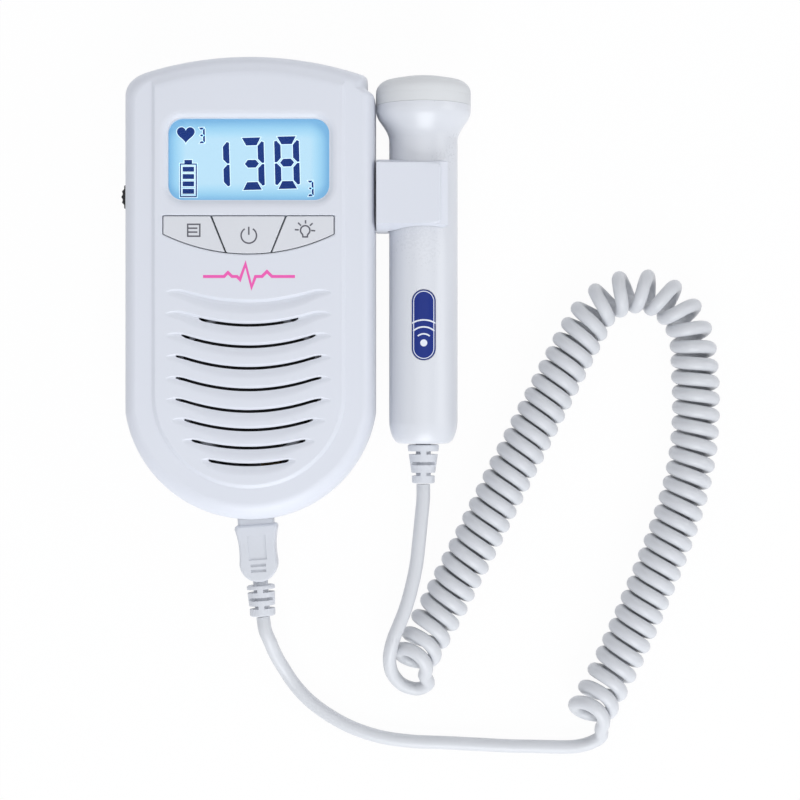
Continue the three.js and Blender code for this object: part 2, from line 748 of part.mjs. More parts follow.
function rearCase() {
  const bay = block(
    [-bayHalf - bayWall, bayFootY - bayWall, caseWall / 2],
    [bayHalf + bayWall, bayTopY + bayWall, bayRoofZ + bayWall],
  );
  const doorSeat = block(
    [-bayHalf - bayWall - doorTongueRun, doorFootY - slide - bayWall, caseWall / 2],
    [bayHalf + bayWall + doorTongueRun, doorTopY - bayWall, doorInnerZ + gap + bayWall],
  );
  const additions = [railSolid(), bay, doorSeat];
  for (const [x, y] of screwPlaces) additions.push(post(postRadius, x, y, caseWall / 2, backTopZ));
  for (const side of [-1, 1])
    additions.push(
      block(
        [socketX + side * socketPostX - socketPost, socketPostY - socketPost, caseWall / 2],
        [socketX + side * socketPostX + socketPost, socketPostY + socketPost, socketBoardZ - gap],
      ),
    );
  const holes = [
    ...railSlot(),
    wheelSlot(),
    block([-bayHalf, bayFootY, -overrun], [bayHalf, bayTopY, bayRoofZ]),
    block([-doorHalf - slide, doorFootY - slide, -overrun], [doorHalf + slide, halfLength, doorInnerZ + gap]),
    block(
      [-doorHalf - doorTongueRun - slide, doorFootY - slide, doorSink + doorPlate - gap],
      [doorHalf + doorTongueRun + slide, halfLength, doorInnerZ + gap],
    ),
    block(
      [sideX - railBlock - overrun, -halfLength, backTopZ],
      [sideX + overrun, halfLength, caseDepth],
    ),
    neckHole(),
  ];
  for (const [x, y] of screwPlaces) {
    holes.push(post(screwRadius + gap, x, y, -overrun, backTopZ + overrun));
    holes.push(post(screwHeadRadius + gap, x, y, -overrun, screwSinkDepth));
  }
  return cut(join(backBody(), ...additions), ...holes);
}

function batteryDoor() {
  const bottom = doorSink;
  const plate = block([-doorHalf, doorFootY, bottom], [doorHalf, halfLength, doorInnerZ]);
  const tongues = block(
    [-doorHalf - doorTongueRun, doorFootY, bottom + doorPlate],
    [doorHalf + doorTongueRun, halfLength, doorInnerZ],
  );
  const envelope = loft([
    { points: caseOutline(backBevelRun), z: 0 },
    { points: caseOutline(backBevelRun * 0.5), z: backBevelRise * 0.3 },
    { points: caseOutline(backBevelRun * 0.12), z: backBevelRise * 0.7 },
  ]);
  const ridges = [];
  for (let i = 0; i < gripRidges; i++) {
    const y = doorFootY + gripRidgePitch * (i + 2);
    ridges.push(block([-gripWidth / 2, y, bottom - overrun], [gripWidth / 2, y + gripRidgeWidth, bottom + gripDepth]));
  }
  return cut(common(join(plate, tongues), envelope), ...ridges);
}

// Plug socket, its board and the opening for the plug's neck
const socketMouthY = caseWall - halfLength;
const innerFootY = (x) => bottomCentreY - Math.sqrt((bottomRadius - caseWall) ** 2 - x ** 2);
const socketHeight = plugHeight + 2 * (gap + socketWall);
const socketWidth = plugWidth + 2 * (gap + socketWall);
const socketBoardZ = socketZ - socketHeight / 2 - gap - boardDepth;
const socketFrontY = innerFootY(socketX + socketWidth / 2) + gap;
const socketBoardFootY = innerFootY(socketX + socketBoardWidth / 2) + 2 * gap;
const ribbonX = socketX + socketBoardWidth / 2 - ribbonWidth / 2;
const socketPost = 1.5;
const socketPostX = socketBoardWidth / 2 - socketPost;
const socketPostY = socketBoardFootY + socketBoardLength - socketPost;
const neckHole = () =>
  block(
    [socketX - neckWidth / 2 - neckRoom, -halfLength - overrun, socketZ - neckHeight / 2 - gap],
    [socketX + neckWidth / 2 + neckRoom, socketFrontY + neckRoom, socketZ + neckHeight / 2 + gap],
  );

place(caseGroup, "front_case", cut(frontCase(), neckHole()), whiteShell);
place(caseGroup, "rear_case", rearCase(), whiteShell);
place(caseGroup, "battery_door", batteryDoor(), whiteShell);

const screwSeatZ = screwSinkDepth - gap;
screwPlaces.forEach(([x, y], i) =>
  place(
    caseGroup,
    `case_screw_${i + 1}`,
    turnedUp(
      [
        [0, screwSeatZ - screwHeadDepth],
        [screwHeadRadius, screwSeatZ - screwHeadDepth],
        [screwHeadRadius, screwSeatZ],
        [screwRadius, screwSeatZ],
        [screwRadius, backDepth + screwBite - gap],
        [0, backDepth + screwBite],
      ],
      12,
    ).translate(x, y, 0),
    steel,
  ),
);

// Display stack
const lcdTopZ = ceilingZ - gap;
const lcdFootZ = lcdTopZ - lcdDepth;
place(
  caseGroup,
  "display_lens",
  slab(roundedRectangle(lensWidth, lensHeight, lensCorner, lensCentreY), ceilingZ, lensTopZ),
  clearWindow,
);
place(
  caseGroup,
  "lcd_panel",
  block(
    [-lcdWidth / 2, lensCentreY - lcdHeight / 2, lcdFootZ],
    [lcdWidth / 2, lensCentreY + lcdHeight / 2, lcdTopZ],
  ),
  displayBlue,
);
place(
  caseGroup,
  "lcd_backlight",
  block(
    [-lcdWidth / 2, lensCentreY - lcdHeight / 2, boardTopZ + gap],
    [lcdWidth / 2, lensCentreY + lcdHeight / 2, lcdFootZ - gap],
  ),
  backlightWhite,
);

// Keys, their plungers and switches
for (const { name, x, y, left, right } of keys) {
  const outerLeft = name === "menu";
  const outerRight = name === "light";
  const capSides = [outerLeft ? gap : gap / 2, outerRight ? gap : gap / 2];
  const flangeSides = [outerLeft ? -keyFlange : gap / 2, outerRight ? -keyFlange : gap / 2];
  const flangeTopZ = ceilingZ - gap;
  const cap = slab(keyOutline(left, right, capSides, gap), flangeTopZ - gap, caseDepth - keySink);
  const flange = slab(keyOutline(left, right, flangeSides, -keyFlange), flangeTopZ - keyFlangeDepth, flangeTopZ);
  place(caseGroup, `key_${name}`, join(cap, flange), keyWhite);
  const switchFootZ = boardTopZ + gap;
  const switchTopZ = switchFootZ + switchDepth;
  const half = switchSize / 2;
  const body = block([x - half, y - half, switchFootZ], [x + half, y + half, switchTopZ - keyTravel]);
  const well = post(plungerRadius + gap, x, y, switchFootZ + switchFloor, switchTopZ + overrun, 12);
  place(caseGroup, `switch_${name}`, cut(body, well), blackPlastic);
  place(
    caseGroup,
    `plunger_${name}`,
    post(plungerRadius, x, y, switchFootZ + switchFloor + keyTravel + gap, flangeTopZ - keyFlangeDepth - gap, 12),
    brass,
  );
}

// Main board, with room for the screw posts, and the parts on it
function mainBoard() {
  const outline = slab(caseOutline(caseWall + sideDraft + boardRoom, footDraft, topDraft), boardZ, boardTopZ);
  const lower = block([-caseWidth, -caseLength, 0], [caseWidth, boardFootY, caseDepth]);
  const posts = screwPlaces.map(([x, y]) => post(postRadius + gap, x, y, 0, caseDepth));
  return cut(outline, lower, ...posts);
}
place(caseGroup, "main_board", mainBoard(), boardGreen);
const underBoardZ = boardZ - gap;
const chipX = -caseWidth / 4;
place(
  caseGroup,
  "main_chip",
  block(
    [-bayHalf + chipSize / 2, bayFootY + chipSize, underBoardZ - chipDepth],
    [-bayHalf + 1.5 * chipSize, bayFootY + 2 * chipSize, underBoardZ],
  ),
  chipBlack,
);
place(
  caseGroup,
  "audio_chip",
  block(
    [-chipX - audioChipWidth / 2, boardFootY + gap, underBoardZ - chipDepth],
    [-chipX + audioChipWidth / 2, boardFootY + gap + audioChipLength, underBoardZ],
  ),
  chipBlack,
);

// Volume wheel, which turns on the potentiometer's shaft
function volumeWheel() {
  const shape = new THREE.Shape();
  for (let i = 0; i < 2 * wheelTeeth; i++) {
    const turn = (Math.PI * i) / wheelTeeth;
    const r = wheelRadius - (i % 2) * toothDepth;
    if (i === 0) shape.moveTo(r, 0);
    else shape.lineTo(r * Math.cos(turn), r * Math.sin(turn));
  }
  const bore = post(wheelShaftRadius + gap, 0, 0, -wheelDepth, wheelDepth, 16);
  return cut(slab(shape, -wheelDepth / 2, wheelDepth / 2), bore).translate(wheelX, wheelY, wheelZ);
}
place(caseGroup, "volume_wheel", volumeWheel(), blackPlastic);
const potFootZ = wheelZ + wheelDepth / 2 + gap;
const potBody = block(
  [wheelX - potWidth / 2, wheelY - potLength / 2, potFootZ],
  [wheelX + potWidth / 2, wheelY + potLength / 2, underBoardZ],
);
const potShaft = post(wheelShaftRadius, wheelX, wheelY, wheelZ - wheelDepth / 2, potFootZ + gap);
place(caseGroup, "volume_pot", join(potBody, potShaft), blackPlastic);

// Speaker
const clothTopZ = ceilingZ - gap;
const flangeZ = clothTopZ - clothDepth - gap;
const speakerPiece = (profile) => turnedUp(profile, 28).translate(0, speakerY, 0);
place(caseGroup, "speaker_cloth", post(speakerRadius - gap, 0, speakerY, flangeZ + gap, clothTopZ, 28), paperBlack);
const rimRadius = speakerRadius - speakerFlange;
const basketFootZ = flangeZ - speakerFlangeDepth - basketDepth;
const basketHole = magnetRadius / 2;
place(
  caseGroup,
  "speaker_frame",
  speakerPiece([
    [rimRadius, flangeZ],
    [speakerRadius, flangeZ],
    [speakerRadius, flangeZ - speakerFlangeDepth],
    [rimRadius + basketWall, flangeZ - speakerFlangeDepth],
    [magnetRadius, basketFootZ],
    [basketHole, basketFootZ],
    [basketHole, basketFootZ + basketWall],
    [magnetRadius - basketWall, basketFootZ + basketWall],
    [rimRadius, flangeZ - speakerFlangeDepth],
  ]),
  blackPlastic,
);
const coneTopZ = flangeZ - gap;
place(
  caseGroup,
  "speaker_cone",
  speakerPiece([
    [0, coneTopZ - coneDrop],
    [coneRadius / 3, coneTopZ - coneDrop],
    [coneRadius, coneTopZ],
    [coneRadius, coneTopZ - coneWall],
    [coneRadius / 3, coneTopZ - coneDrop - coneWall],
    [0, coneTopZ - coneDrop - coneWall],
  ]),
  paperBlack,
);
place(
  caseGroup,
  "speaker_magnet",
  post(magnetRadius, 0, speakerY, basketFootZ - gap - magnetDepth, basketFootZ - gap, 28),
  magnetGrey,
);

// Cells and contacts
const contactTopY = bayTopY - gap;
const nubY = contactTopY - contactDepth - gap;
for (const [i, side] of [-1, 1].entries()) {
  const x = side * (cellRadius + gap / 2);
  const cell = turned(
    [
      [0, nubY - cellNub - cellLength],
      [cellRadius, nubY - cellNub - cellLength],
      [cellRadius, nubY - cellNub],
      [cellNubRadius, nubY - cellNub],
      [cellNubRadius, nubY],
      [0, nubY],
    ],
    20,
  );
  place(caseGroup, `battery_${i + 1}`, cell.translate(x, 0, cellZ), cellWrap);
  const springTopY = nubY - cellNub - cellLength - gap;
  const spring = turned(
    [
      [0, bayFootY + gap],
      [springRadius, bayFootY + gap],
      [springRadius / 2, springTopY],
      [0, springTopY],
    ],
    12,
  );
  place(caseGroup, `contact_spring_${i + 1}`, spring.translate(x, 0, cellZ), steel);
}
place(
  caseGroup,
  "contact_plate",
  block(
    [-cellRadius - springRadius, contactTopY - contactDepth, cellZ - springRadius],
    [cellRadius + springRadius, contactTopY, cellZ + springRadius],
  ),
  steel,
);

// Socket, its board, and the ribbon that joins it to the main board
place(
  caseGroup,
  "usb_socket",
  cut(
    block(
      [socketX - socketWidth / 2, socketFrontY, socketZ - socketHeight / 2],
      [socketX + socketWidth / 2, socketFrontY + socketDepth, socketZ + socketHeight / 2],
    ),
    block(
      [socketX - plugWidth / 2 - gap, socketMouthY - overrun, socketZ - plugHeight / 2 - gap],
      [socketX + plugWidth / 2 + gap, socketMouthY + plugReach + gap, socketZ + plugHeight / 2 + gap],
    ),
  ),
  steel,
);
place(
  caseGroup,
  "socket_board",
  block(
    [socketX - socketBoardWidth / 2, socketBoardFootY, socketBoardZ],
    [socketX + socketBoardWidth / 2, socketBoardFootY + socketBoardLength, socketBoardZ + boardDepth],
  ),
  boardGreen,
);
function socketRibbon() {
  const lowZ = socketBoardZ + boardDepth + gap + ribbonDepth;
  const highZ = boardZ - gap;
  const foot = socketFrontY + socketDepth + gap;
  const bendY = speakerY + speakerRadius / 2;
  const line = [
    [foot, lowZ],
    [bendY, lowZ],
    [boardFootY - 2 * ribbonDepth, highZ - 2 * ribbonDepth],
    [boardFootY, highZ],
    [boardFootY + ribbonWidth, highZ],
  ];
  const under = line.map(([y, z]) => new THREE.Vector2(z - ribbonDepth, y));
  const over = line.map(([y, z]) => new THREE.Vector2(z, y)).reverse();
  const outline = [...under, ...over];
  return slab(THREE.ShapeUtils.isClockWise(outline) ? outline.reverse() : outline, -ribbonWidth / 2, ribbonWidth / 2)
    .rotateY(-Math.PI / 2)
    .translate(ribbonX, 0, 0);
}
place(caseGroup, "socket_ribbon", socketRibbon(), paint(0xc9b27a, 0.6));

// Probe holder: a T-shaped foot in the rail, a block, and a clip open on the far side
function probeHolder() {
  const inner = handleRadius + gap;
  const outer = inner + holderWall;
  const footX = sideX + gap - probeOffset;
  const tip = Math.acos(holderLip / outer);
  const section = new THREE.Shape();
  section.moveTo(footX, -outer);
  section.lineTo(0, -outer);
  section.absarc(0, 0, outer, -Math.PI / 2, -tip, false);
  section.lineTo(inner * Math.cos(tip), -inner * Math.sin(tip));
  section.absarc(0, 0, inner, -tip, tip - 2 * Math.PI, true);
  section.lineTo(outer * Math.cos(tip), outer * Math.sin(tip));
  section.absarc(0, 0, outer, tip, Math.PI / 2, false);
  section.lineTo(footX, outer);
  const clip = new THREE.ExtrudeGeometry(section, { depth: holderLength, bevelEnabled: false, curveSegments: 8 })
    .rotateX(Math.PI / 2)
    .translate(0, holderY + holderLength / 2, 0);
  const taper = (holderLength - holderPlateLength) / 2;
  const trims = [];
  for (const [sideY, sideZ] of [[1, 1], [1, -1], [-1, 1], [-1, -1]]) {
    const end = holderY + (sideY * holderLength) / 2;
    const corner = [
      new THREE.Vector2(end - sideY * taper, sideZ * (outer + overrun)),
      new THREE.Vector2(end - sideY * taper, sideZ * outer),
      new THREE.Vector2(end, (sideZ * outer) / 2),
      new THREE.Vector2(end + sideY * overrun, (sideZ * outer) / 2),
      new THREE.Vector2(end + sideY * overrun, sideZ * (outer + overrun)),
    ];
    const wedge = slab(THREE.ShapeUtils.isClockWise(corner) ? corner.reverse() : corner, -outer, outer);
    trims.push(wedge.rotateX(Math.PI / 2).rotateZ(Math.PI / 2).translate(-gap, 0, 0));
  }
  const length = holderLength / 2;
  const neck = block(
    [sideX - railLip - gap - probeOffset, holderY - length, -railNeckHalf],
    [footX + gap, holderY + length, railNeckHalf],
  );
  const foot = block(
    [sideX - notchDepth + gap - probeOffset, holderY - length, gap - railSlotHalf],
    [sideX - railLip - gap - probeOffset, holderY + length, railSlotHalf - gap],
  );
  const plate = block(
    [-inner, holderY - holderPlateLength / 2, inner + gap],
    [holderPlateReach, holderY + holderPlateLength / 2, outer],
  );
  return join(cut(clip, ...trims), plate, neck, foot);
}
place(probeGroup, "probe_holder", probeHolder(), whiteShell);

// Probe body
const probeInner = handleRadius - probeWall;
const probeSides = 32;
function probeBody() {
  const corner = handleRadius - handleFootRadius;
  const outside = [
    [0, handleFootY],
    [handleFootRadius - corner, handleFootY],
    [handleFootRadius, handleFootY + corner * 0.35],
    [handleRadius - corner * 0.25, handleFootY + handleCorner * 0.45],
    [handleRadius, handleFootY + handleCorner],
    [handleRadius, neckY],
    [handleRadius + (headRadius - handleRadius) * 0.2, neckY + (flareY - neckY) * 0.35],
    [headRadius - (headRadius - handleRadius) * 0.15, neckY + (flareY - neckY) * 0.8],
    [headRadius, flareY],
    [headRadius, seamY],
    [0, seamY],
  ];
  const inside = [
    [0, handleFootY + probeWall + reliefRoot],
    [probeInner, handleFootY + probeWall + reliefRoot],
    [probeInner, neckY],
    [headRadius - probeWall, flareY],
    [headRadius - probeWall, seamY + overrun],
    [0, seamY + overrun],
  ];
  const reliefBore = turned(
    [
      [0, handleFootY - overrun],
      [reliefCore + gap, handleFootY - overrun],
      [reliefCore + gap, handleFootY + probeWall + reliefRoot + overrun],
      [0, handleFootY + probeWall + reliefRoot + overrun],
    ],
    16,
  );
  const seat = common(
    turned(
      [
        [handleRadius - labelDepth + labelProud - gap, labelY - labelLength],
        [handleRadius + overrun, labelY - labelLength],
        [handleRadius + overrun, labelY + labelLength],
        [handleRadius - labelDepth + labelProud - gap, labelY + labelLength],
      ],
      probeSides,
    ),
    slab(roundedRectangle(labelWidth + 2 * gap, labelLength + 2 * gap, labelWidth / 2 + gap, labelY), 0, headRadius),
  );
  return cut(turned(outside, probeSides), turned(inside, probeSides), reliefBore, seat);
}
place(probeGroup, "probe_body", probeBody(), probeShell);
place(
  probeGroup,
  "probe_label",
  common(
    turned(
      [
        [handleRadius - labelDepth + labelProud, labelY - labelLength],
        [handleRadius + labelProud, labelY - labelLength],
        [handleRadius + labelProud, labelY + labelLength],
        [handleRadius - labelDepth + labelProud, labelY + labelLength],
      ],
      probeSides,
    ),
    slab(roundedRectangle(labelWidth, labelLength, labelWidth / 2, labelY), 0, headRadius),
  ),
  labelBlue,
);

// Probe cap, with its window, crystals and backing
const capFootY = seamY + gap;
const spigotRadius = headRadius - probeWall - gap;
const windowSeatY = faceY - windowDepth - gap;
place(
  probeGroup,
  "probe_cap",
  turned(
    [
      [spigotRadius - probeWall, seamY - capSpigot],
      [spigotRadius, seamY - capSpigot],
      [spigotRadius, capFootY],
      [headRadius, capFootY],
      [headRadius, faceY - headFillet],
      [headRadius - headFillet * 0.3, faceY - headFillet * 0.3],
      [headRadius - headFillet, faceY],
      [windowRadius + gap, faceY + faceDome * 0.05],
      [windowRadius + gap, windowSeatY],
      [spigotRadius - probeWall, windowSeatY],
    ],
    probeSides,
  ),
  capGrey,
);
place(
  probeGroup,
  "acoustic_window",
  turned(
    [
      [0, windowSeatY + gap],
      [windowRadius, windowSeatY + gap],
      [windowRadius, faceY + faceDome * 0.1],
      [windowRadius * 0.55, faceY + faceDome * 0.7],
      [0, faceY + faceDome],
    ],
    probeSides,
  ),
  capGrey,
);
const crystalTopY = windowSeatY;
const crystalDisc = () =>
  turned(
    [
      [0, crystalTopY - crystalDepth],
      [crystalRadius, crystalDepth * -1 + crystalTopY],
      [crystalRadius, crystalTopY],
      [0, crystalTopY],
    ],
    20,
  );
for (const [name, side] of [["left", -1], ["right", 1]]) {
  const near = (side * crystalSplit) / 2;
  const far = side * headRadius;
  const half = block(
    [Math.min(near, far), crystalTopY - overrun, -headRadius],
    [Math.max(near, far), crystalTopY + overrun, headRadius],
  );
  place(probeGroup, `crystal_${name}`, common(crystalDisc(), half), ceramic);
}
const backingTopY = crystalTopY - crystalDepth - gap;
place(
  probeGroup,
  "crystal_backing",
  turned(
    [
      [0, backingTopY - backingDepth],
      [crystalRadius, backingTopY - backingDepth],
      [crystalRadius, backingTopY],
      [0, backingTopY],
    ],
    20,
  ),
  foamGrey,
);
place(
  probeGroup,
  "probe_board",
  block(
    [-probeBoardWidth / 2, backingTopY - backingDepth - gap - probeBoardLength, -boardDepth / 2],
    [probeBoardWidth / 2, backingTopY - backingDepth - gap, boardDepth / 2],
  ),
  boardGreen,
);

// A strain relief from y = 0 down to its end, with a solid core where the cord runs.
function strainRelief(length, radius, endRadius) {
  const sleeve = turned(
    [
      [0, -length],
      [endRadius - reliefCorner, -length],
      [endRadius, reliefCorner - length],
      [endRadius, reliefSlotRise - length],
      [radius, -gap - reliefCorner],
      [radius, -gap],
      [0, -gap],
    ],
    16,
  );
  const core = turned(
    [
      [0, -length - overrun],
      [reliefCore, -length - overrun],
      [reliefCore, overrun],
      [0, overrun],
    ],
    16,
  );
  const pitch = (length - reliefSlotRise) / reliefSlots;
  const slots = [];
  for (let i = 0; i < reliefSlots; i++) {
    const y = reliefSlotRise - length + i * pitch;
    for (const side of [-1, 1]) {
      const near = side * (i % 2 ? reliefCore * bridgeShare : reliefBridge / 2);
      const [from, to] = [Math.min(near, side * length), Math.max(near, side * length)];
      const slot =
        i % 2
          ? block([-length, y, from], [length, y + reliefSlot, to])
          : block([from, y, -length], [to, y + reliefSlot, length]);
      slots.push(cut(slot, core));
    }
  }
  return cut(sleeve, ...slots);
}
const probeRelief = strainRelief(probeReliefLength, probeReliefRadius, probeReliefEnd);
const anchorY = probeWall + reliefRoot + gap;
const reliefAnchor = turned(
  [
    [0, -2 * gap],
    [reliefCore, -2 * gap],
    [reliefCore, anchorY],
    [reliefCollar, anchorY],
    [reliefCollar, anchorY + boardDepth],
    [0, anchorY + boardDepth],
  ],
  16,
);
place(
  probeGroup,
  "probe_strain_relief",
  join(probeRelief, reliefAnchor).translate(0, handleFootY, 0),
  cordWhite,
);

// Plug: the boot leans a little about its neck, the metal shell stays straight in the socket
const plugGroup = new THREE.Group();
const neckTopY = socketMouthY - gap;
plugGroup.position.set(caseX + socketX, neckTopY, socketZ);
const bootGroup = new THREE.Group();
bootGroup.rotation.z = THREE.MathUtils.degToRad(bootLeanDegrees);
plugGroup.add(bootGroup);
group.add(plugGroup);

place(
  plugGroup,
  "plug_shell",
  block([-plugWidth / 2, gap + gap / 2, -plugHeight / 2], [plugWidth / 2, gap + plugReach - gap, plugHeight / 2]),
  steel,
);

const shoulderY = -neckLength;
function plugBoot() {
  const half = bootWidth / 2;
  const footY = shoulderY - bootLength;
  const roundY = footY + half;
  const shape = new THREE.Shape();
  shape.moveTo(-half + bootChamfer, shoulderY);
  shape.lineTo(-half, shoulderY - bootChamfer);
  shape.quadraticCurveTo(bootWaist * 2 - half, (shoulderY + roundY) / 2, bootWaist - half, roundY);
  shape.absarc(0, roundY, half - bootWaist, Math.PI, 2 * Math.PI, false);
  shape.quadraticCurveTo(half - bootWaist * 2, (shoulderY + roundY) / 2, half, shoulderY - bootChamfer);
  shape.lineTo(half - bootChamfer, shoulderY);
  const body = new THREE.ExtrudeGeometry(shape, {
    depth: bootHeight - 2 * bootChamfer,
    bevelSize: bootChamfer,
    bevelThickness: bootChamfer,
    bevelOffset: -bootChamfer,
    bevelSegments: 1,
    curveSegments: 8,
  }).translate(0, 0, bootChamfer - bootHeight / 2);
  const neck = block([-neckWidth / 2, shoulderY - bootChamfer, -neckHeight / 2], [neckWidth / 2, 0, neckHeight / 2]);
  const panelTopY = shoulderY - bootPanelDrop;
  const panelFootY = panelTopY - bootPanelLength;
  const topZ = bootHeight / 2;
  const recess = block(
    [-bootPanelWidth / 2, panelFootY, topZ - bootPanelDepth],
    [bootPanelWidth / 2, panelTopY, topZ + overrun],
  );
  const bars = [1, 2].map((i) =>
    block(
      [-bootBarWidth / 2, panelFootY - 2 * i * bootBarDepth - bootBarDepth / 2, topZ - bootPanelDepth],
      [bootBarWidth / 2, panelFootY - 2 * i * bootBarDepth + bootBarDepth / 2, topZ + overrun],
    ),
  );
  return cut(join(body, neck), recess, ...bars);
}
place(bootGroup, "plug_boot", plugBoot(), cordWhite);
place(
  bootGroup,
  "plug_strain_relief",
  strainRelief(plugReliefLength, plugReliefRadius, plugReliefEnd).translate(0, shoulderY - bootLength, 0),
  cordWhite,
);

// Cord

const coilHeight = coilRadius + cordDiameter / 2 + coilLift;
const coilAxis = new THREE.CatmullRomCurve3(
  coilAxisRoute.map(([x, y]) => new THREE.Vector3(x, y, coilHeight)),
  false,
  "centripetal",
);
coilAxis.arcLengthDivisions = 2000;
const coilAxisLength = coilAxis.getLength();

// Place, direction, right-hand side and bend (one over the bend radius) at a distance along the coil's axis.
function alongCoil(distance) {
  const share = THREE.MathUtils.clamp(distance / coilAxisLength, 0, 1);
  const look = bendLook / coilAxisLength;
  const from = Math.max(0, share - look);
  const to = Math.min(1, share + look);
  const ahead = coilAxis.getTangentAt(share);
  const turn = coilAxis.getTangentAt(from).angleTo(coilAxis.getTangentAt(to));
  const past = distance - share * coilAxisLength;
  return {
    place: coilAxis.getPointAt(share).addScaledVector(ahead, past),
    ahead,
    right: ahead.clone().cross(new THREE.Vector3(0, 0, 1)),
    bend: turn / ((to - from) * coilAxisLength),
  };
}

const archShare = (bend) => THREE.MathUtils.smoothstep(bend, 1 / looseBend, 1 / tightBend);

// Distance along the axis for one curl: wider on the arch, so that the curls keep apart on its inner side.
function curlPitch(distance) {
  const bend = Math.max(alongCoil(distance).bend, alongCoil(distance + pitchLook).bend);
  return (curlSpacing + archSpacing * archShare(bend)) / (1 - bend * archReach);
}

// The left-handed helix from a quarter turn before the first crest to a quarter turn after the last one.
function coilHelix() {
  const steps = [];
  let distance = (-curlPitch(0) * 1) / 4;
  let turn = -1 / 4;
  while (distance < coilAxisLength) {
    steps.push({ distance, turn });
    distance += curlPitch(Math.max(0, distance)) / coilSteps;
    turn += 1 / coilSteps;
  }
  const crests = Math.floor(turn);
  return steps
    .filter((step) => step.turn <= crests + 1 / 4)
    .map(({ distance: along, turn: curl }) => {
      const { place: centre, ahead, right, bend } = alongCoil(along);
      const angle = 2 * Math.PI * curl;
      let across = -Math.sin(angle) * coilRadius;
      if (across > 0) across -= (across / coilRadius) * archShare(bend) * (coilRadius - archReach);
      const nearStart = Math.max(0, 1 - curl / endTiltCurls);
      const nearEnd = Math.max(0, 1 - (crests - curl) / endTiltCurls);
      const tilt = ((1 - Math.cos(angle)) / 2) * endTilt * (nearEnd - nearStart);
      const crest = new THREE.Vector3(0, 0, Math.cos(angle) * coilRadius);
      return centre.addScaledVector(ahead, tilt).addScaledVector(right, across).add(crest);
    });
}

// Least distance between the cord's surface on one curl and on another, measured on its points.
function gapToItself(points) {
  let least = Infinity;
  for (let i = 0; i < points.length; i++)
    for (let j = i + coilSteps / 2 + 1; j < points.length; j++)
      least = Math.min(least, points[i].distanceTo(points[j]));
  return least - cordDiameter;
}

const toVector = ([x, y, z]) => new THREE.Vector3(x, y, z);
const routeLength = (points) => points.reduce((sum, p, i) => (i ? sum + p.distanceTo(points[i - 1]) : 0), 0);
const coilPoints = [...coilStartRoute.map(toVector), ...coilHelix(), ...coilEndRoute.map(toVector)];
const coilGap = gapToItself(coilPoints);
const curls = coilHelix().length / coilSteps;
console.log(`coil: ${curls.toFixed(1)} curls, cord ${routeLength(coilPoints).toFixed(0)} mm`);
console.log(`coil: least gap to itself ${coilGap.toFixed(2)} mm, wanted over ${leastCoilGap} mm`);
place(group, "cord_coil", tubeThrough(coilPoints, cordDiameter / 2, coilSides), cordWhite);

// A plain lead as a round section drawn along its route.
function lead(route) {
  const curve = new THREE.CatmullRomCurve3(route.map(toVector), false, "centripetal");
  const section = new THREE.Shape();
  for (let i = 0; i < leadSides; i++) {
    const turn = (2 * Math.PI * i) / leadSides;
    const [x, y] = [(cordDiameter / 2) * Math.cos(turn), (cordDiameter / 2) * Math.sin(turn)];
    if (i === 0) section.moveTo(x, y);
    else section.lineTo(x, y);
  }
  const steps = Math.ceil(curve.getLength() / (2.2 * cordDiameter));
  console.log(`lead: ${curve.getLength().toFixed(0)} mm`);
  return new THREE.ExtrudeGeometry(section, { steps, extrudePath: curve });
}
place(group, "cord_probe_lead", lead(probeLeadRoute), cordWhite);
place(group, "cord_plug_lead", lead(plugLeadRoute), cordWhite);

export default group;
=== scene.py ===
"""Looks of a hand-held fetal heartbeat monitor, its probe and its curly cord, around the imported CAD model.

Everything is in metres in the model's frame: X to the probe, Y to the top of the case, Z out of the display.
"""

import math

import bmesh
import bpy
from mathutils import Matrix, Vector


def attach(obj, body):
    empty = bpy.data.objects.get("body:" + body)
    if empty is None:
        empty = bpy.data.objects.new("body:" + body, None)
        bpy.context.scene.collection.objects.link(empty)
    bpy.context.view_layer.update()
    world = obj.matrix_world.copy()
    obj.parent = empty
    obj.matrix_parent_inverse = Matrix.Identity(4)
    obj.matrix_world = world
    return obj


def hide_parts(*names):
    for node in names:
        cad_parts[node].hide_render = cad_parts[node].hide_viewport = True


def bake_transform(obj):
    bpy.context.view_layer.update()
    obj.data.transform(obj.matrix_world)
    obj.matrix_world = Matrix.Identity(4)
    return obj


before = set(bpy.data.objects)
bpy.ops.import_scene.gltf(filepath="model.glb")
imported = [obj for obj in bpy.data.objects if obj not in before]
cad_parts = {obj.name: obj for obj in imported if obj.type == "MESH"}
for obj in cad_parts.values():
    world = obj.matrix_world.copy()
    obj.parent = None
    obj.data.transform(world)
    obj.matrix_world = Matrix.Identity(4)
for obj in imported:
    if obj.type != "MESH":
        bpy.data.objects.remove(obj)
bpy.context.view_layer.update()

MM = 0.001
MERGE_WITHIN = 0.002 * MM

# ---- sizes, in millimetres as in the CAD model

CASE_X = -13.375
PROBE_X, PROBE_Z = 36.625, 15.0
CASE_WIDTH, CASE_LENGTH = 72.2, 135.0
HALF_WIDTH, HALF_LENGTH = CASE_WIDTH / 2, CASE_LENGTH / 2
TABLE_TO_SEAM, SEAM = 15.0, 0.15
BOTTOM_RADIUS, TOP_RADIUS = 36.5, 101.5
BOTTOM_CENTRE_Y = BOTTOM_RADIUS - HALF_LENGTH
CORNER_RUN, CORNER_DROP = 7.2, 7.3
NOTCH_DEPTH, NOTCH_DROP, NOTCH_SLOPE, NOTCH_CORNER = 2.4, 12.5, 1.6, 1.2
PANEL_TOP, LEDGE, CEILING = 30.0, 29.3, 27.3
BEVEL_RUN, BEVEL_RISE, BEVEL_FOOT, BEVEL_TOP = 4.0, 5.4, 1.8, 1.3
SIDE_DRAFT, FOOT_DRAFT, TOP_DRAFT = 0.35, 0.25, 1.1
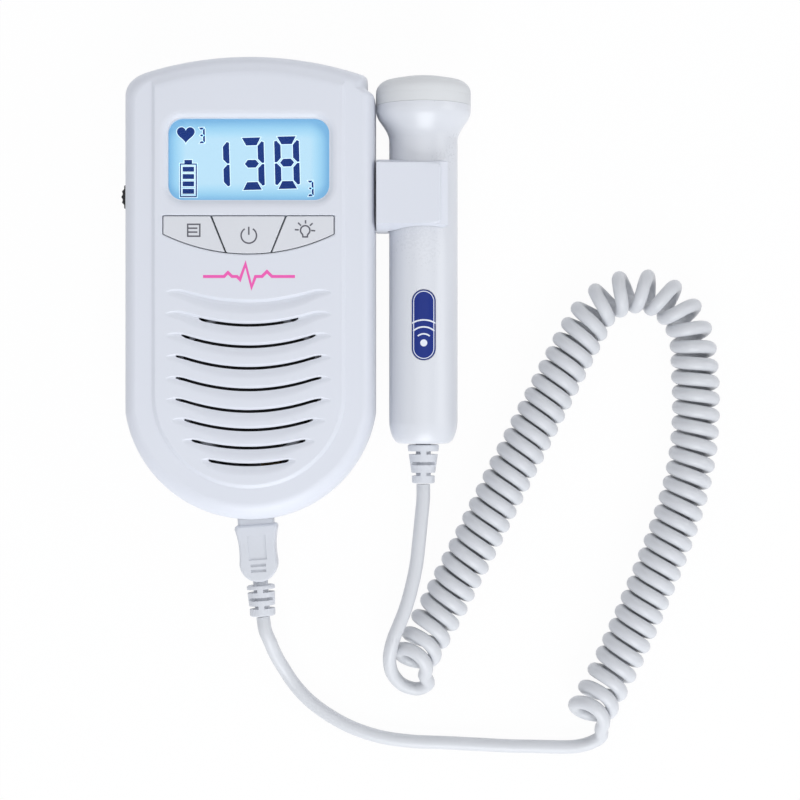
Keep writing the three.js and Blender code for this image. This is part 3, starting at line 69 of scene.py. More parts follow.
PANEL_INSET, PANEL_END_RADIUS, PANEL_SLOPE = 8.8, 26.5, 0.6
LENS_WIDTH, LENS_HEIGHT, LENS_CORNER, LENS_Y, LENS_TOP = 45.4, 22.7, 4.0, 36.1, 29.2
LCD_TOP = 27.0
KEYPAD_HALF, KEYPAD_TOP, KEYPAD_SIDE, KEYPAD_SAG = 24.5, 20.0, 5.4, 11.1
POWER_TOP, POWER_FOOT = 10.75, 6.4
KEY_TOP, FLANGE_TOP, FLANGE_DEPTH, FLANGE = 29.9, 27.0, 0.9, 0.8
SPEAKER_Y = -28.0
POST_RADIUS, BORE_RADIUS, SINK_RADIUS = 3.6, 1.6, 2.9
SCREWS = [(-29.5, 49.5), (29.5, 49.5), (-24.5, -45.0), (24.5, -45.0)]
HOLDER_Y, HOLDER_LENGTH, PLATE_LENGTH, PLATE_REACH = 26.7, 20.4, 17.4, 4.9
HANDLE = 10.0
LABEL_Y, LABEL_HALF = -11.0, 11.0
PLUG_ORIGIN = Vector((-12.575, -65.8, 12.0))
BOOT_LEAN = 4

# ---- camera

IMAGE_WIDTH = 800
SENSOR = 36.0
CAMERA_HEIGHT = 600 * MM
CAMERA_X, CAMERA_Y = 29.8 * MM, -32.6 * MM
MIDDLE_HEIGHT = 15 * MM
PIXEL_AT_MIDDLE = 0.2922 * MM


def add_camera():
    bpy.ops.object.camera_add(location=(CAMERA_X, CAMERA_Y, CAMERA_HEIGHT))
    camera = bpy.context.object
    width_seen = IMAGE_WIDTH * PIXEL_AT_MIDDLE
    camera.data.sensor_width = SENSOR
    camera.data.lens = SENSOR * (CAMERA_HEIGHT - MIDDLE_HEIGHT) / width_seen
    bpy.context.scene.camera = camera


def at_pixel(px, py, height):
    """The point at a height that a pixel of the photograph shows."""
    scale = PIXEL_AT_MIDDLE * (CAMERA_HEIGHT - height) / (CAMERA_HEIGHT - MIDDLE_HEIGHT)
    middle = IMAGE_WIDTH / 2
    return Vector((CAMERA_X + (px - middle) * scale, CAMERA_Y + (middle - py) * scale, height))


add_camera()

# ---- shader expressions


class Value:
    """A number or a socket in a material's node tree, on which ordinary sums build Math nodes."""

    def __init__(self, tree, socket):
        self.tree, self.socket = tree, socket

    def math(self, operation, *values):
        return self.tree.node("ShaderNodeMath", {"operation": operation}, *values)

    def __rsub__(self, other):
        return self.math("SUBTRACT", other, self)


def add_sum(name, operation):
    setattr(Value, name, lambda self, *others: self.math(operation, self, *others))


for sum_name, sum_operation in {
    "__add__": "ADD",
    "__radd__": "ADD",
    "__sub__": "SUBTRACT",
    "__mul__": "MULTIPLY",
    "__rmul__": "MULTIPLY",
    "__truediv__": "DIVIDE",
    "__pow__": "POWER",
    "abs": "ABSOLUTE",
    "at_most": "MINIMUM",
    "at_least": "MAXIMUM",
}.items():
    add_sum(sum_name, sum_operation)


class Material:
    """A node material: sockets by name, nodes from one method."""

    def __init__(self, name, color, roughness, metallic=0.0, **fixed):
        self.material = bpy.data.materials.new(name)
        self.material.use_nodes = True
        self.nodes = self.material.node_tree.nodes
        self.links = self.material.node_tree.links
        self.shader = self.nodes["Principled BSDF"]
        self.set("Base Color", (*color, 1))
        self.set("Roughness", roughness)
        self.set("Metallic", metallic)
        for name_, value in fixed.items():
            self.set(name_.replace("_", " "), value)

    def set(self, socket, value):
        self._feed(self.shader.inputs[socket], value)

    def _feed(self, socket, value):
        if isinstance(value, Value):
            self.links.new(value.socket, socket)
        else:
            socket.default_value = value

    def node(self, kind, settings=None, *values, output=0, **named):
        made = self.nodes.new(kind)
        for key, value in (settings or {}).items():
            if key == "stops":
                ramp = made.color_ramp
                for stop, (place, color) in zip(self._stops(ramp, len(value)), value):
                    stop.position, stop.color = place, (*color, 1)
            else:
                setattr(made, key, value)
        for socket, value in zip(made.inputs, values):
            self._feed(socket, value)
        for key, value in named.items():
            self._feed(made.inputs[key.replace("_", " ")], value)
        return Value(self, made.outputs[output])

    @staticmethod
    def _stops(ramp, count):
        while len(ramp.elements) < count:
            ramp.elements.new(1.0)
        return ramp.elements

    def place(self):
        return self.node("ShaderNodeTexCoord", output="Object")

    def axis(self, name):
        """One coordinate of the place on the piece, in metres."""
        return self.node("ShaderNodeSeparateXYZ", None, self.place(), output=name)

    def noise(self, scale, detail=3.0, stretch=(1, 1, 1)):
        vector = self.place()
        if stretch != (1, 1, 1):
            vector = self.node("ShaderNodeMapping", None, Vector=vector, Scale=stretch)
        return self.node("ShaderNodeTexNoise", None, Vector=vector, Scale=scale, Detail=detail)

    def mix(self, share, first, second):
        made = self.nodes.new("ShaderNodeMix")
        made.data_type = "RGBA"
        self._feed(made.inputs[0], share)
        for socket, color in ((made.inputs[6], first), (made.inputs[7], second)):
            self._feed(socket, color if isinstance(color, Value) else (*color, 1))
        return Value(self, made.outputs[2])

    def bump(self, height, strength, distance):
        self.set(
            "Normal",
            self.node("ShaderNodeBump", None, Height=height, Strength=strength, Distance=distance),
        )


def moulded(name, color, roughness, grain=0.25, tint=0.03, **fixed):
    """Moulded plastic: fine spark-eroded grain, faint flow marks and uneven gloss."""
    made = Material(name, color, roughness, **fixed)
    patches = made.noise(35, 2)
    flecks = made.noise(1400, 2)
    deep = tuple(c * (1 - tint) for c in color)
    made.set("Base Color", made.mix(patches, deep, color))
    made.set("Roughness", roughness + (patches - 0.5) * 0.12 + (flecks - 0.5) * 0.06)
    made.bump(flecks, grain, 0.00004)
    return made.material


def painted_board(name, color):
    """Circuit board: solder mask over tracks, with bare pads."""
    made = Material(name, color, 0.35, Coat_Weight=0.3)
    tracks = made.node(
        "ShaderNodeTexBrick",
        None,
        Vector=made.place(),
        Scale=260,
        Mortar_Size=0.04,
        Color1=(1, 1, 1, 1),
        Color2=(0.75, 0.75, 0.75, 1),
        Mortar=(0, 0, 0, 1),
    )
    light = tuple(min(1, c * 1.8 + 0.01) for c in color)
    made.set("Base Color", made.mix(tracks, light, color))
    made.bump(tracks, 0.3, 0.00003)
    return made.material


def turned_metal(name, color, roughness):
    """Drawn or stamped metal with fine lines and a few dull patches."""
    made = Material(name, color, roughness, 1.0)
    lines = made.noise(900, 2, (1, 0.06, 1))
    patches = made.noise(120, 3)
    made.set("Base Color", made.mix(patches, tuple(c * 0.85 for c in color), color))
    made.set("Roughness", roughness + (lines - 0.5) * 0.2)
    made.bump(lines, 0.15, 0.00002)
    return made.material


def woven(name, color, scale):
    """Dust cloth and paper: crossing threads."""
    made = Material(name, color, 0.9, Sheen_Weight=0.2)
    across = made.node("ShaderNodeTexWave", {"bands_direction": "X"}, Vector=made.place(), Scale=scale)
    along = made.node("ShaderNodeTexWave", {"bands_direction": "Y"}, Vector=made.place(), Scale=scale)
    threads = across * along
    made.set("Base Color", made.mix(threads, tuple(c * 0.4 for c in color), color))
    made.bump(threads, 0.5, 0.0001)
    return made.material


def level_distance(made, x, y, width, height, radius):
    """How far a point of a level surface is inside a rounded rectangle's edge, in metres."""
    across = (made.axis("X") - x).abs() - (width / 2 - radius)
    along = (made.axis("Y") - y).abs() - (height / 2 - radius)
    outside = across.at_least(0) ** 2 + along.at_least(0) ** 2
    return radius - outside**0.5


def lit_display():
    """Backlit display: pale blue in the middle, deeper blue along its edges."""
    made = Material("lcd_blue", (0.06, 0.10, 0.13), 0.4, Emission_Strength=0.88)
    inside = level_distance(made, (CASE_X - 0.35) * MM, (LENS_Y - 0.35) * MM, LENS_WIDTH * MM, LENS_HEIGHT * MM, 6 * MM)
    patches = made.noise(60, 2)
    share = inside / (5 * MM) + (patches - 0.5) * 0.12
    stops = [
        (0.0, (0.15, 0.42, 0.72)),
        (0.35, (0.28, 0.60, 0.85)),
        (0.75, (0.41, 0.71, 0.91)),
        (1.0, (0.49, 0.75, 0.92)),
    ]
    made.set("Emission Color", made.node("ShaderNodeValToRGB", {"stops": stops}, share))
    return made.material


def clear_window():
    """Clear hard plastic over the display."""
    made = Material("window_clear", (0.55, 0.72, 0.82), 0.06, Specular_IOR_Level=0.12)
    made.set("Alpha", 0.01 + made.noise(40, 2) * 0.006)
    return made.material


def printed_label():
    """Blue label with a white line round its edge, a dot, and waves that spread from it."""
    made = Material("label_blue", (0.012, 0.03, 0.22), 0.35, Specular_IOR_Level=0.2)
    x, y = made.axis("X") - PROBE_X * MM, made.axis("Y") - LABEL_Y * MM

    def line(distance, width):
        return 1 - (distance.abs() / (width * MM / 2)).at_least(0.8).at_most(1.2) * 2.5 + 2

    stadium = (x * x + (y.abs() - 6.75 * MM).at_least(0) ** 2) ** 0.5
    white = line(stadium - 2.9 * MM, 0.22).at_most(1).at_least(0)
    reach = (x * x + (y + 5.2 * MM) ** 2) ** 0.5
    ahead = ((y + 5.2 * MM) - x.abs() * 1.1) * 6000
    for radius in (2.6, 4.6, 6.6):
        wave = line(reach - radius * MM, 0.42).at_most(1).at_least(0) * ahead.at_least(0).at_most(1)
        white = white.at_least(wave)
    dot = ((1.05 * MM - reach) * 12000).at_least(0).at_most(1)
    white = white.at_least(dot)
    flecks = made.noise(1400, 2)
    made.set("Base Color", made.mix(white, (0.012, 0.03, 0.22), (0.78, 0.82, 0.90)))
    made.set("Roughness", 0.35 + (made.noise(35, 2) - 0.5) * 0.1)
    made.bump(flecks, 0.05, 0.00004)
    return made.material


CASE_WHITE = (0.72, 0.745, 0.81)
# A pale rim round the display's marks with its own glow: a painted highlight, brighter than the display behind it.
PAINTED_HALO_GLOW = {"Emission_Color": (0.60, 0.84, 0.97, 1), "Emission_Strength": 0.36}
MATERIALS = {
    "shell": moulded("pearl_white_shell", CASE_WHITE, 0.42, Specular_IOR_Level=0.4),
    "key": moulded("key_white", (0.70, 0.715, 0.755), 0.5, Specular_IOR_Level=0.35),
    "probe": moulded("probe_white", (0.72, 0.74, 0.785), 0.3, grain=0.12, Specular_IOR_Level=0.5),
    "cap": moulded("cap_grey", (0.725, 0.74, 0.755), 0.65, grain=0.4, Specular_IOR_Level=0.25),
    "cord": moulded("cord_white", (0.67, 0.69, 0.735), 0.38, grain=0.15, Specular_IOR_Level=0.45),
    "jacket": moulded("cord_jacket", (0.64, 0.655, 0.685), 0.38, grain=0.15, Specular_IOR_Level=0.45),
    "black": moulded("black_plastic", (0.012, 0.012, 0.014), 0.55),
    "chip": moulded("chip_black", (0.02, 0.02, 0.022), 0.6, grain=0.5),
    "board": painted_board("board_green", (0.01, 0.12, 0.045)),
    "steel": turned_metal("bright_steel", (0.62, 0.62, 0.63), 0.28),
    "brass": turned_metal("plated_brass", (0.75, 0.56, 0.24), 0.3),
    "magnet": turned_metal("magnet_grey", (0.22, 0.22, 0.23), 0.5),
    "cloth": woven("dust_cloth", (0.012, 0.012, 0.013), 1600),
    "paper": woven("cone_paper", (0.03, 0.03, 0.03), 900),
    "label": printed_label(),
    "display": lit_display(),
    "lens": clear_window(),
    # Painted highlight: the glowing rim round the display's marks.
    "halo": moulded("display_painted_halo", (0.72, 0.90, 0.98), 0.5, grain=0.02, **PAINTED_HALO_GLOW),
    "ceramic": moulded("crystal_ceramic", (0.45, 0.34, 0.18), 0.7, grain=0.5, tint=0.2),
    "foam": moulded("backing_grey", (0.12, 0.13, 0.14), 0.95, grain=1.0, tint=0.3),
    "cell": moulded("cell_wrap", (0.03, 0.11, 0.36), 0.3, grain=0.05, Coat_Weight=0.5),
    "ribbon": moulded("ribbon_film", (0.5, 0.33, 0.1), 0.3, grain=0.05, Coat_Weight=0.3),
    "glow": moulded("backlight_white", (0.85, 0.92, 0.96), 0.5),
    "ink": moulded("display_ink", (0.004, 0.03, 0.21), 0.5, grain=0.02, Specular_IOR_Level=0.05),
    "print_grey": moulded("print_grey", (0.10, 0.10, 0.125), 0.5, grain=0.05),
    "print_pink": moulded("print_pink", (0.86, 0.10, 0.45), 0.45, grain=0.05),
}

# ---- modelling helpers


def deselect():
    bpy.ops.object.select_all(action="DESELECT")


def only(piece):
    deselect()
    piece.select_set(True)
    bpy.context.view_layer.objects.active = piece


def settle(piece):
    """Puts the piece's place into its mesh."""
    only(piece)
    bpy.ops.object.transform_apply(location=True, rotation=True, scale=True)
    return piece


def modify(piece, kind, **settings):
    only(piece)
    modifier = piece.modifiers.new(kind.title(), kind)
    for key, value in settings.items():
        setattr(modifier, key, value)
    bpy.ops.object.modifier_apply(modifier=modifier.name)
    return piece


def rounded_edges(piece, width, degrees=30, segments=2):
    return modify(
        piece,
        "BEVEL",
        width=width * MM,
        segments=segments,
        limit_method="ANGLE",
        angle_limit=math.radians(degrees),
        harden_normals=False,
    )


def smooth(piece, degrees=35):
    only(piece)
    bpy.ops.object.shade_smooth_by_angle(angle=math.radians(degrees))
    return modify(piece, "WEIGHTED_NORMAL", keep_sharp=True, weight=60)


def drawn_through(rings):
    """A closed body through rings of as many points each: a filled outline, extruded from ring to ring."""
    rings = [[Vector(point) * MM for point in ring] for ring in rings]
    deselect()
    bpy.ops.mesh.primitive_circle_add(vertices=len(rings[0]), radius=MM, fill_type="NGON")
    piece = bpy.context.object
    settle(piece)
    bpy.ops.object.mode_set(mode="EDIT")
    before = None
    for ring in rings:
        if before:
            bpy.ops.mesh.extrude_region_move()
        mesh = bmesh.from_edit_mesh(piece.data)
        corners = list(next(face for face in mesh.faces if face.select).verts)
        if before:
            first = min(range(len(corners)), key=lambda i: (corners[i].co - before[0]).length_squared)
            corners = corners[first:] + corners[:first]
            if (corners[1].co - before[1]).length > (corners[-1].co - before[1]).length:
                corners = corners[:1] + corners[:0:-1]
        for corner, point in zip(corners, ring):
            corner.co = point
        bmesh.update_edit_mesh(piece.data)
        before = ring
    bpy.ops.mesh.select_all(action="SELECT")
    bpy.ops.mesh.normals_make_consistent(inside=False)
    bpy.ops.object.mode_set(mode="OBJECT")
    return piece


def turned(profile, centre, axis="Y", steps=96):
    """Spins a profile of (radius, height) round a line along Y or Z through a centre."""
    cx, cy, cz = centre
    if axis == "Y":
        points = [Vector((cx + r, cy + h, cz)) * MM for r, h in profile]
    else:
        points = [Vector((cx + r, cy, cz + h)) * MM for r, h in profile]
    deselect()
    bpy.ops.mesh.primitive_plane_add(size=MM, location=points[0])
    piece = settle(bpy.context.object)
    bpy.ops.object.mode_set(mode="EDIT")
    bpy.ops.mesh.merge(type="CENTER")
    for before, after in zip(points, points[1:]):
        bpy.ops.mesh.extrude_region_move(TRANSFORM_OT_translate={"value": after - before})
    bpy.ops.mesh.select_all(action="SELECT")
    bpy.ops.mesh.spin(
        steps=steps,
        angle=2 * math.pi,
        center=Vector(centre) * MM,
        axis=(0, 1, 0) if axis == "Y" else (0, 0, 1),
    )
    bpy.ops.mesh.select_all(action="SELECT")
    bpy.ops.mesh.remove_doubles(threshold=0.005 * MM)
    bpy.ops.mesh.normals_make_consistent(inside=False)
    bpy.ops.object.mode_set(mode="OBJECT")
    return piece


def ring_profile(inner, outer, low, high):
    return [(inner, low), (outer, low), (outer, high), (inner, high), (inner, low)]


def block(low, high, corner=0.0):
    """A block between two corners, with its edges rounded."""
    low, high = Vector(low) * MM, Vector(high) * MM
    deselect()
    bpy.ops.mesh.primitive_cube_add(size=1, location=(low + high) / 2)
    piece = bpy.context.object
    piece.scale = high - low
    settle(piece)
    if corner:
        rounded_edges(piece, corner, segments=4)
    return piece


def post(radius, x, y, low, high, sides=32):
    deselect()
    bpy.ops.mesh.primitive_cylinder_add(
        vertices=sides,
        radius=radius * MM,
        depth=(high - low) * MM,
        location=(x * MM, y * MM, (low + high) / 2 * MM),
    )
    return settle(bpy.context.object)


def together(*parts):
    """Several parts as one object."""
    deselect()
    for part in parts:
        part.select_set(True)
    bpy.context.view_layer.objects.active = parts[0]
    if len(parts) > 1:
        bpy.ops.object.join()
    return parts[0]


def combine(piece, operation, *tools):
    for tool in tools:
        modify(piece, "BOOLEAN", operation=operation, solver="EXACT", object=tool)
        bpy.data.objects.remove(tool, do_unlink=True)
    return piece


def cut(piece, *tools):
    return combine(piece, "DIFFERENCE", *tools)


def join(piece, *others):
    return combine(piece, "UNION", *others)


def common(piece, other):
    return combine(piece, "INTERSECT", other)


def merged(piece, dissolve, **limit):
    """Merges the points that lie together and dissolves what is left between them."""
    only(piece)
    bpy.ops.object.mode_set(mode="EDIT")
    bpy.ops.mesh.select_all(action="SELECT")
    bpy.ops.mesh.remove_doubles(threshold=MERGE_WITHIN)
    dissolve(**limit)
    bpy.ops.object.mode_set(mode="OBJECT")


def finished(piece, name, material, body, *nodes, angle=35):
    """Merges what a cut left apart, shades the piece, names it, paints it and hangs it on its body."""
    merged(piece, bpy.ops.mesh.dissolve_degenerate, threshold=MERGE_WITHIN / 2)
    smooth(piece, angle)
    piece.name = name
    piece.data.name = name
    piece.data.materials.clear()
    piece.data.materials.append(MATERIALS[material])
    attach(piece, body)
    if nodes:
        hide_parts(*nodes)
    return piece


def dressed(node, material, body, corner, degrees=28, segments=2):
    """A finer copy of a CAD node: merged, its hard edges rounded over."""
    piece = bpy.data.objects.new(f"{node}_finished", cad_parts[node].data.copy())
    bpy.context.collection.objects.link(piece)
    merged(piece, bpy.ops.mesh.dissolve_limited, angle_limit=math.radians(0.5))
    rounded_edges(piece, corner, degrees, segments)
    return finished(piece, f"{node}_finished", material, body, node)


# ---- cord

CORD_DIAMETER = 4.0
COIL_RADIUS = 5.1
COIL_LIFT = 0.2
CURL_SPACING = 4.54
ARCH_SPACING = 0.12
ARCH_REACH = 4.2
LOOSE_BEND = 125.0
TIGHT_BEND = 22.0
PITCH_LOOK = 1.0
BEND_LOOK = 5.3
CURL_STEPS = 16
END_TILT = 7.0
END_TILT_CURLS = 3
CORD_SIDES = 14

COIL_AXIS_ROUTE = [
    (35, -107.2), (39.2, -99.6), (43.3, -92.2), (46.6, -85.6), (50.3, -78.6), (54.2, -70.8),
    (58.6, -61.8), (63.4, -52.2), (68.3, -42.6), (73.4, -32.6), (78.6, -22.4), (83.6, -13),
    (89.1, -5.3), (96.9, -1.1), (105.6, -1.8), (112.4, -7), (115.9, -15), (117.1, -24.8),
    (117.4, -35.6), (116.6, -47), (114.5, -58.2), (111, -69.6), (106.8, -80.8), (102.3, -91.8),
    (97.6, -102.7), (92.6, -113.2), (86.6, -124.2),
]  # fmt: skip
COIL_START_ROUTE = [
    (27.9, -102.7, 12.9), (26.9, -106.8, 11.5), (26.8, -110.7, 9), (28, -114.5, 5.8),
    (31, -117.7, 3.2), (35.2, -118.8, 2.4), (38.2, -116.9, 4.4),
]  # fmt: skip
COIL_END_ROUTE = [
    (89.6, -132.6, 4.6), (86.6, -134.9, 2.6), (82.6, -136, 2.2), (78.2, -136.2, 2.2), (73.8, -136.1, 2.2),
]  # fmt: skip
PROBE_LEAD_ROUTE = [
    (36.6, -57.2, 15), (36.6, -61.2, 15), (36, -67.5, 15), (35.4, -73.5, 15),
    (34.6, -80.5, 14.8), (33.2, -87.3, 14.5), (31.4, -93.7, 14.1), (29.6, -98.4, 13.7),
    (28, -102.4, 13),
]  # fmt: skip
PLUG_LEAD_ROUTE = [
    (-10.4, -96.3, 12), (-9.8, -100.2, 12), (-8.5, -103.6, 10.8), (-7, -108, 7.4), (-4.8, -112.4, 4.3),
    (-2, -117, 2.7), (2.2, -121.8, 2.2), (8.2, -126.4, 2.2), (15.6, -130.4, 2.2), (24.2, -133.2, 2.2),
    (33.5, -134.5, 2.2), (43, -134.9, 2.2), (53, -135.4, 2.2), (63, -135.9, 2.2), (69.3, -136, 2.2),
    (73.5, -136.1, 2.2),
]  # fmt: skip


def mixed(a, b, start, end, t):
    """The point that lies between a and b as t lies between start and end."""
    return a * ((end - t) / (end - start)) + b * ((t - start) / (end - start))


def through(points, spacing):
    """Points at an even spacing on a smooth curve through a route: a centripetal Catmull-Rom spline."""
    points = [Vector(p) for p in points]
    first, last = 2 * points[0] - points[1], 2 * points[-1] - points[-2]
    padded = [first, *points, last]
    dense = []
    for p0, p1, p2, p3 in zip(padded, padded[1:], padded[2:], padded[3:]):
        knots = [0.0]
        for a, b in ((p0, p1), (p1, p2), (p2, p3)):
            knots.append(knots[-1] + math.sqrt((b - a).length))
        t0, t1, t2, t3 = knots
        for i in range(16):
            t = t1 + (t2 - t1) * i / 16
            a1, a2, a3 = mixed(p0, p1, t0, t1, t), mixed(p1, p2, t1, t2, t), mixed(p2, p3, t2, t3, t)
            b1, b2 = mixed(a1, a2, t0, t2, t), mixed(a2, a3, t1, t3, t)
            dense.append(mixed(b1, b2, t1, t2, t))
    dense.append(points[-1])
    lengths = [0.0]
    for a, b in zip(dense, dense[1:]):
        lengths.append(lengths[-1] + (b - a).length)
    count = max(2, round(lengths[-1] / spacing))
    even, k = [], 0
    for i in range(count + 1):
        goal = lengths[-1] * i / count
        while k + 2 < len(lengths) and lengths[k + 1] < goal:
            k += 1
        span = lengths[k + 1] - lengths[k]
        even.append(dense[k].lerp(dense[k + 1], (goal - lengths[k]) / span if span else 0))
    return even


class CoilAxis:
    """The coil's axis: its place, direction and bend at a distance along it, in millimetres."""

    STEP = 0.25

    def __init__(self):
        height = COIL_RADIUS + CORD_DIAMETER / 2 + COIL_LIFT
        self.points = through([(x, y, height) for x, y in COIL_AXIS_ROUTE], self.STEP)
        self.step = sum((b - a).length for a, b in zip(self.points, self.points[1:])) / (len(self.points) - 1)
        self.length = self.step * (len(self.points) - 1)

    def place(self, distance):
        inside = min(max(distance, 0.0), self.length)
        k = min(int(inside / self.step), len(self.points) - 2)
        here = self.points[k].lerp(self.points[k + 1], inside / self.step - k)
        return here + self.ahead(inside) * (distance - inside)

    def ahead(self, distance):
        inside = min(max(distance, self.step), self.length - self.step)
        k = min(max(int(inside / self.step), 1), len(self.points) - 2)
        return (self.points[k + 1] - self.points[k - 1]).normalized()

    def bend(self, distance):
        low, high = max(0.0, distance - BEND_LOOK), min(self.length, distance + BEND_LOOK)
        if high <= low:
            return 0.0
        return self.ahead(low).angle(self.ahead(high)) / (high - low)


def arch_share(bend):
    share = min(max((bend - 1 / LOOSE_BEND) / (1 / TIGHT_BEND - 1 / LOOSE_BEND), 0.0), 1.0)
    return share * share * (3 - 2 * share)


def coil_helix():
    """The left-handed helix of the curly cord, as points in millimetres."""
    axis = CoilAxis()

    def pitch(distance):
        bend = max(axis.bend(distance), axis.bend(distance + PITCH_LOOK))
        return (CURL_SPACING + ARCH_SPACING * arch_share(bend)) / (1 - bend * ARCH_REACH)

    steps, curl, distance = [], -0.25, -pitch(0) / 4
    while distance < axis.length:
        steps.append((distance, curl))
        distance += pitch(max(0.0, distance)) / CURL_STEPS
        curl += 1 / CURL_STEPS
    crests = math.floor(curl)
    points = []
    for distance, curl in steps:
        if curl > crests + 0.25:
            break
        ahead, share = axis.ahead(distance), arch_share(axis.bend(distance))
        right = ahead.cross(Vector((0, 0, 1)))
        angle = 2 * math.pi * curl
        across = -math.sin(angle) * COIL_RADIUS
        if across > 0:
            across -= across / COIL_RADIUS * share * (COIL_RADIUS - ARCH_REACH)
        near_start = max(0.0, 1 - curl / END_TILT_CURLS)
        near_end = max(0.0, 1 - (crests - curl) / END_TILT_CURLS)
        tilt = (1 - math.cos(angle)) / 2 * END_TILT * (near_end - near_start)
        rise = Vector((0, 0, math.cos(angle) * COIL_RADIUS))
        points.append(axis.place(distance) + ahead * tilt + right * across + rise)
    return points


def cord_tube(name, path, node, body=None):
    """A round cord along a path in millimetres: a curve given its thickness, then made a mesh."""
    points = [Vector(p) * MM for p in path]
    data = bpy.data.curves.new(name, "CURVE")
    data.dimensions = "3D"
    data.bevel_depth = CORD_DIAMETER / 2 * MM
    data.bevel_resolution = (CORD_SIDES - 4) // 2
    data.use_fill_caps = True
    spline = data.splines.new("POLY")
    spline.points.add(len(points) - 1)
    for point, place in zip(spline.points, points):
        point.co = (*place, 1)
    piece = bpy.data.objects.new(name, data)
    bpy.context.collection.objects.link(piece)
    only(piece)
    bpy.ops.object.convert(target="MESH")
    piece = bpy.context.object
    piece.data.materials.append(MATERIALS["jacket"])
    bpy.ops.object.shade_smooth_by_angle(angle=math.radians(50))
    if body:
        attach(piece, body)
    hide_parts(node)
    return piece, points


def path_length(points):
    return sum((b - a).length for a, b in zip(points, points[1:]))


def add_cords():
    curls = [*COIL_START_ROUTE[1:], *coil_helix(), *COIL_END_ROUTE[:-1]]
    whole = through([*PROBE_LEAD_ROUTE, *curls, *PLUG_LEAD_ROUTE[::-1]], 1.0)

    def nearest(place):
        return min(range(len(whole)), key=lambda i: (whole[i] - Vector(place)).length_squared)

    first, last = nearest(PROBE_LEAD_ROUTE[-1]), nearest(PLUG_LEAD_ROUTE[-1])
    coil = cord_tube("curly_cord", whole[first : last + 1], "cord_coil", "case")
    lead, lead_points = cord_tube("probe_lead", whole[: first + 2], "cord_probe_lead")
    plug_lead, plug_points = cord_tube("plug_lead", whole[last - 1 :][::-1], "cord_plug_lead")
    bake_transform(lead)
    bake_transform(plug_lead)
    return coil, (lead, lead_points), (plug_lead, plug_points)


def describe_cord(piece, points, start, far_end, stiffness, lay, **more):
    path_length(points)


(curly_cord, coil_points), (probe_lead, lead_points), (plug_lead, plug_points) = add_cords()
describe_cord(probe_lead, lead_points, lead_points[0], "object", "limp", "hanging")
describe_cord(curly_cord, coil_points, lead_points[-1], "object", "medium", "coiled")

# ---- stage


def add_stage():
    bpy.ops.mesh.primitive_plane_add(size=6, location=(0, 0, -0.0002))
    floor = bpy.context.object
    floor.name = "floor"
    paper = Material("white_paper", (0.9, 0.9, 0.92), 0.9)
    seen = paper.node("ShaderNodeLightPath", output="Is Camera Ray")
    glossy = paper.node("ShaderNodeLightPath", output="Is Glossy Ray")
    through_glass = paper.node("ShaderNodeLightPath", output="Is Transmission Ray")
    glow = paper.node("ShaderNodeEmission", None, Color=(1, 1, 1, 1), Strength=1.0)
    share = (seen + glossy + through_glass).at_most(1.0) * 0.96
    mixed = paper.nodes.new("ShaderNodeMixShader")
    paper.links.new(share.socket, mixed.inputs[0])
    paper.links.new(paper.shader.outputs[0], mixed.inputs[1])
    paper.links.new(glow.socket, mixed.inputs[2])
    paper.links.new(mixed.outputs[0], paper.nodes["Material Output"].inputs[0])
    floor.data.materials.append(paper.material)

    world = bpy.data.worlds.new("studio")
    bpy.context.scene.world = world
    world.use_nodes = True
    world.node_tree.nodes["Background"].inputs["Color"].default_value = (0.93, 0.95, 1.0, 1)
    world.node_tree.nodes["Background"].inputs["Strength"].default_value = 0.42

    lamps = [
        ("top_softbox", (0.05, 0.10, 0.9), 0.7, 1.35, (1.0, 0.99, 0.97)),
        ("front_softbox", (0.10, -0.85, 0.55), 0.6, 5.2, (0.96, 0.98, 1.0)),
        ("right_softbox", (0.85, 0.0, 0.45), 0.5, 1.8, (1.0, 1.0, 1.0)),
        ("back_softbox", (0.0, 0.90, 0.60), 0.6, 2.1, (1.0, 1.0, 1.0)),
        ("left_softbox", (-0.85, 0.0, 0.50), 0.6, 0.7, (1.0, 1.0, 1.0)),
        ("low_softbox", (0.0, -1.0, 0.2), 0.4, 1.1, (1.0, 1.0, 1.0)),
    ]
    for name, place, size, power, color in lamps:
        bpy.ops.object.light_add(type="AREA", location=place)
        lamp = bpy.context.object
        lamp.name = name
        lamp.data.size, lamp.data.energy, lamp.data.color = size, power, color
        lamp.rotation_euler = (Vector((0.02, -0.03, 0.01)) - Vector(place)).to_track_quat("-Z", "Y").to_euler()
    bpy.context.scene.view_settings.view_transform = "Standard"


add_stage()

# ---- outlines


def eased(before, corner, after, run, steps=4):
    """A corner rounded over: a short curve that leaves each side a run away from it."""
    before, corner, after = Vector(before), Vector(corner), Vector(after)
    start = corner + (before - corner).normalized() * run
    end = corner + (after - corner).normalized() * run
    shares = [i / steps for i in range(steps + 1)]
    return [start.lerp(corner, s).lerp(corner.lerp(end, s), s) for s in shares]


def at_height(outline, z, x=CASE_X, y=0.0):
    return [(p[0] + x, p[1] + y, z) for p in outline]


def arc(x, y, radius, start, end, steps):
    turns = [math.radians(start + (end - start) * i / steps) for i in range(steps + 1)]
    return [(x + radius * math.cos(t), y + radius * math.sin(t)) for t in turns]


def rounded_rectangle(width, height, radius, y=0.0, x=0.0, steps=10):
    w, h = width / 2 - radius, height / 2 - radius
    return [
        *arc(x + w, y + h, radius, 0, 90, steps),
        *arc(x - w, y + h, radius, 90, 180, steps),
        *arc(x - w, y - h, radius, 180, 270, steps),
        *arc(x + w, y - h, radius, 270, 360, steps),
    ]


def top_edge_y(x, inset):
    return HALF_LENGTH - TOP_RADIUS + math.sqrt((TOP_RADIUS - inset) ** 2 - x * x)


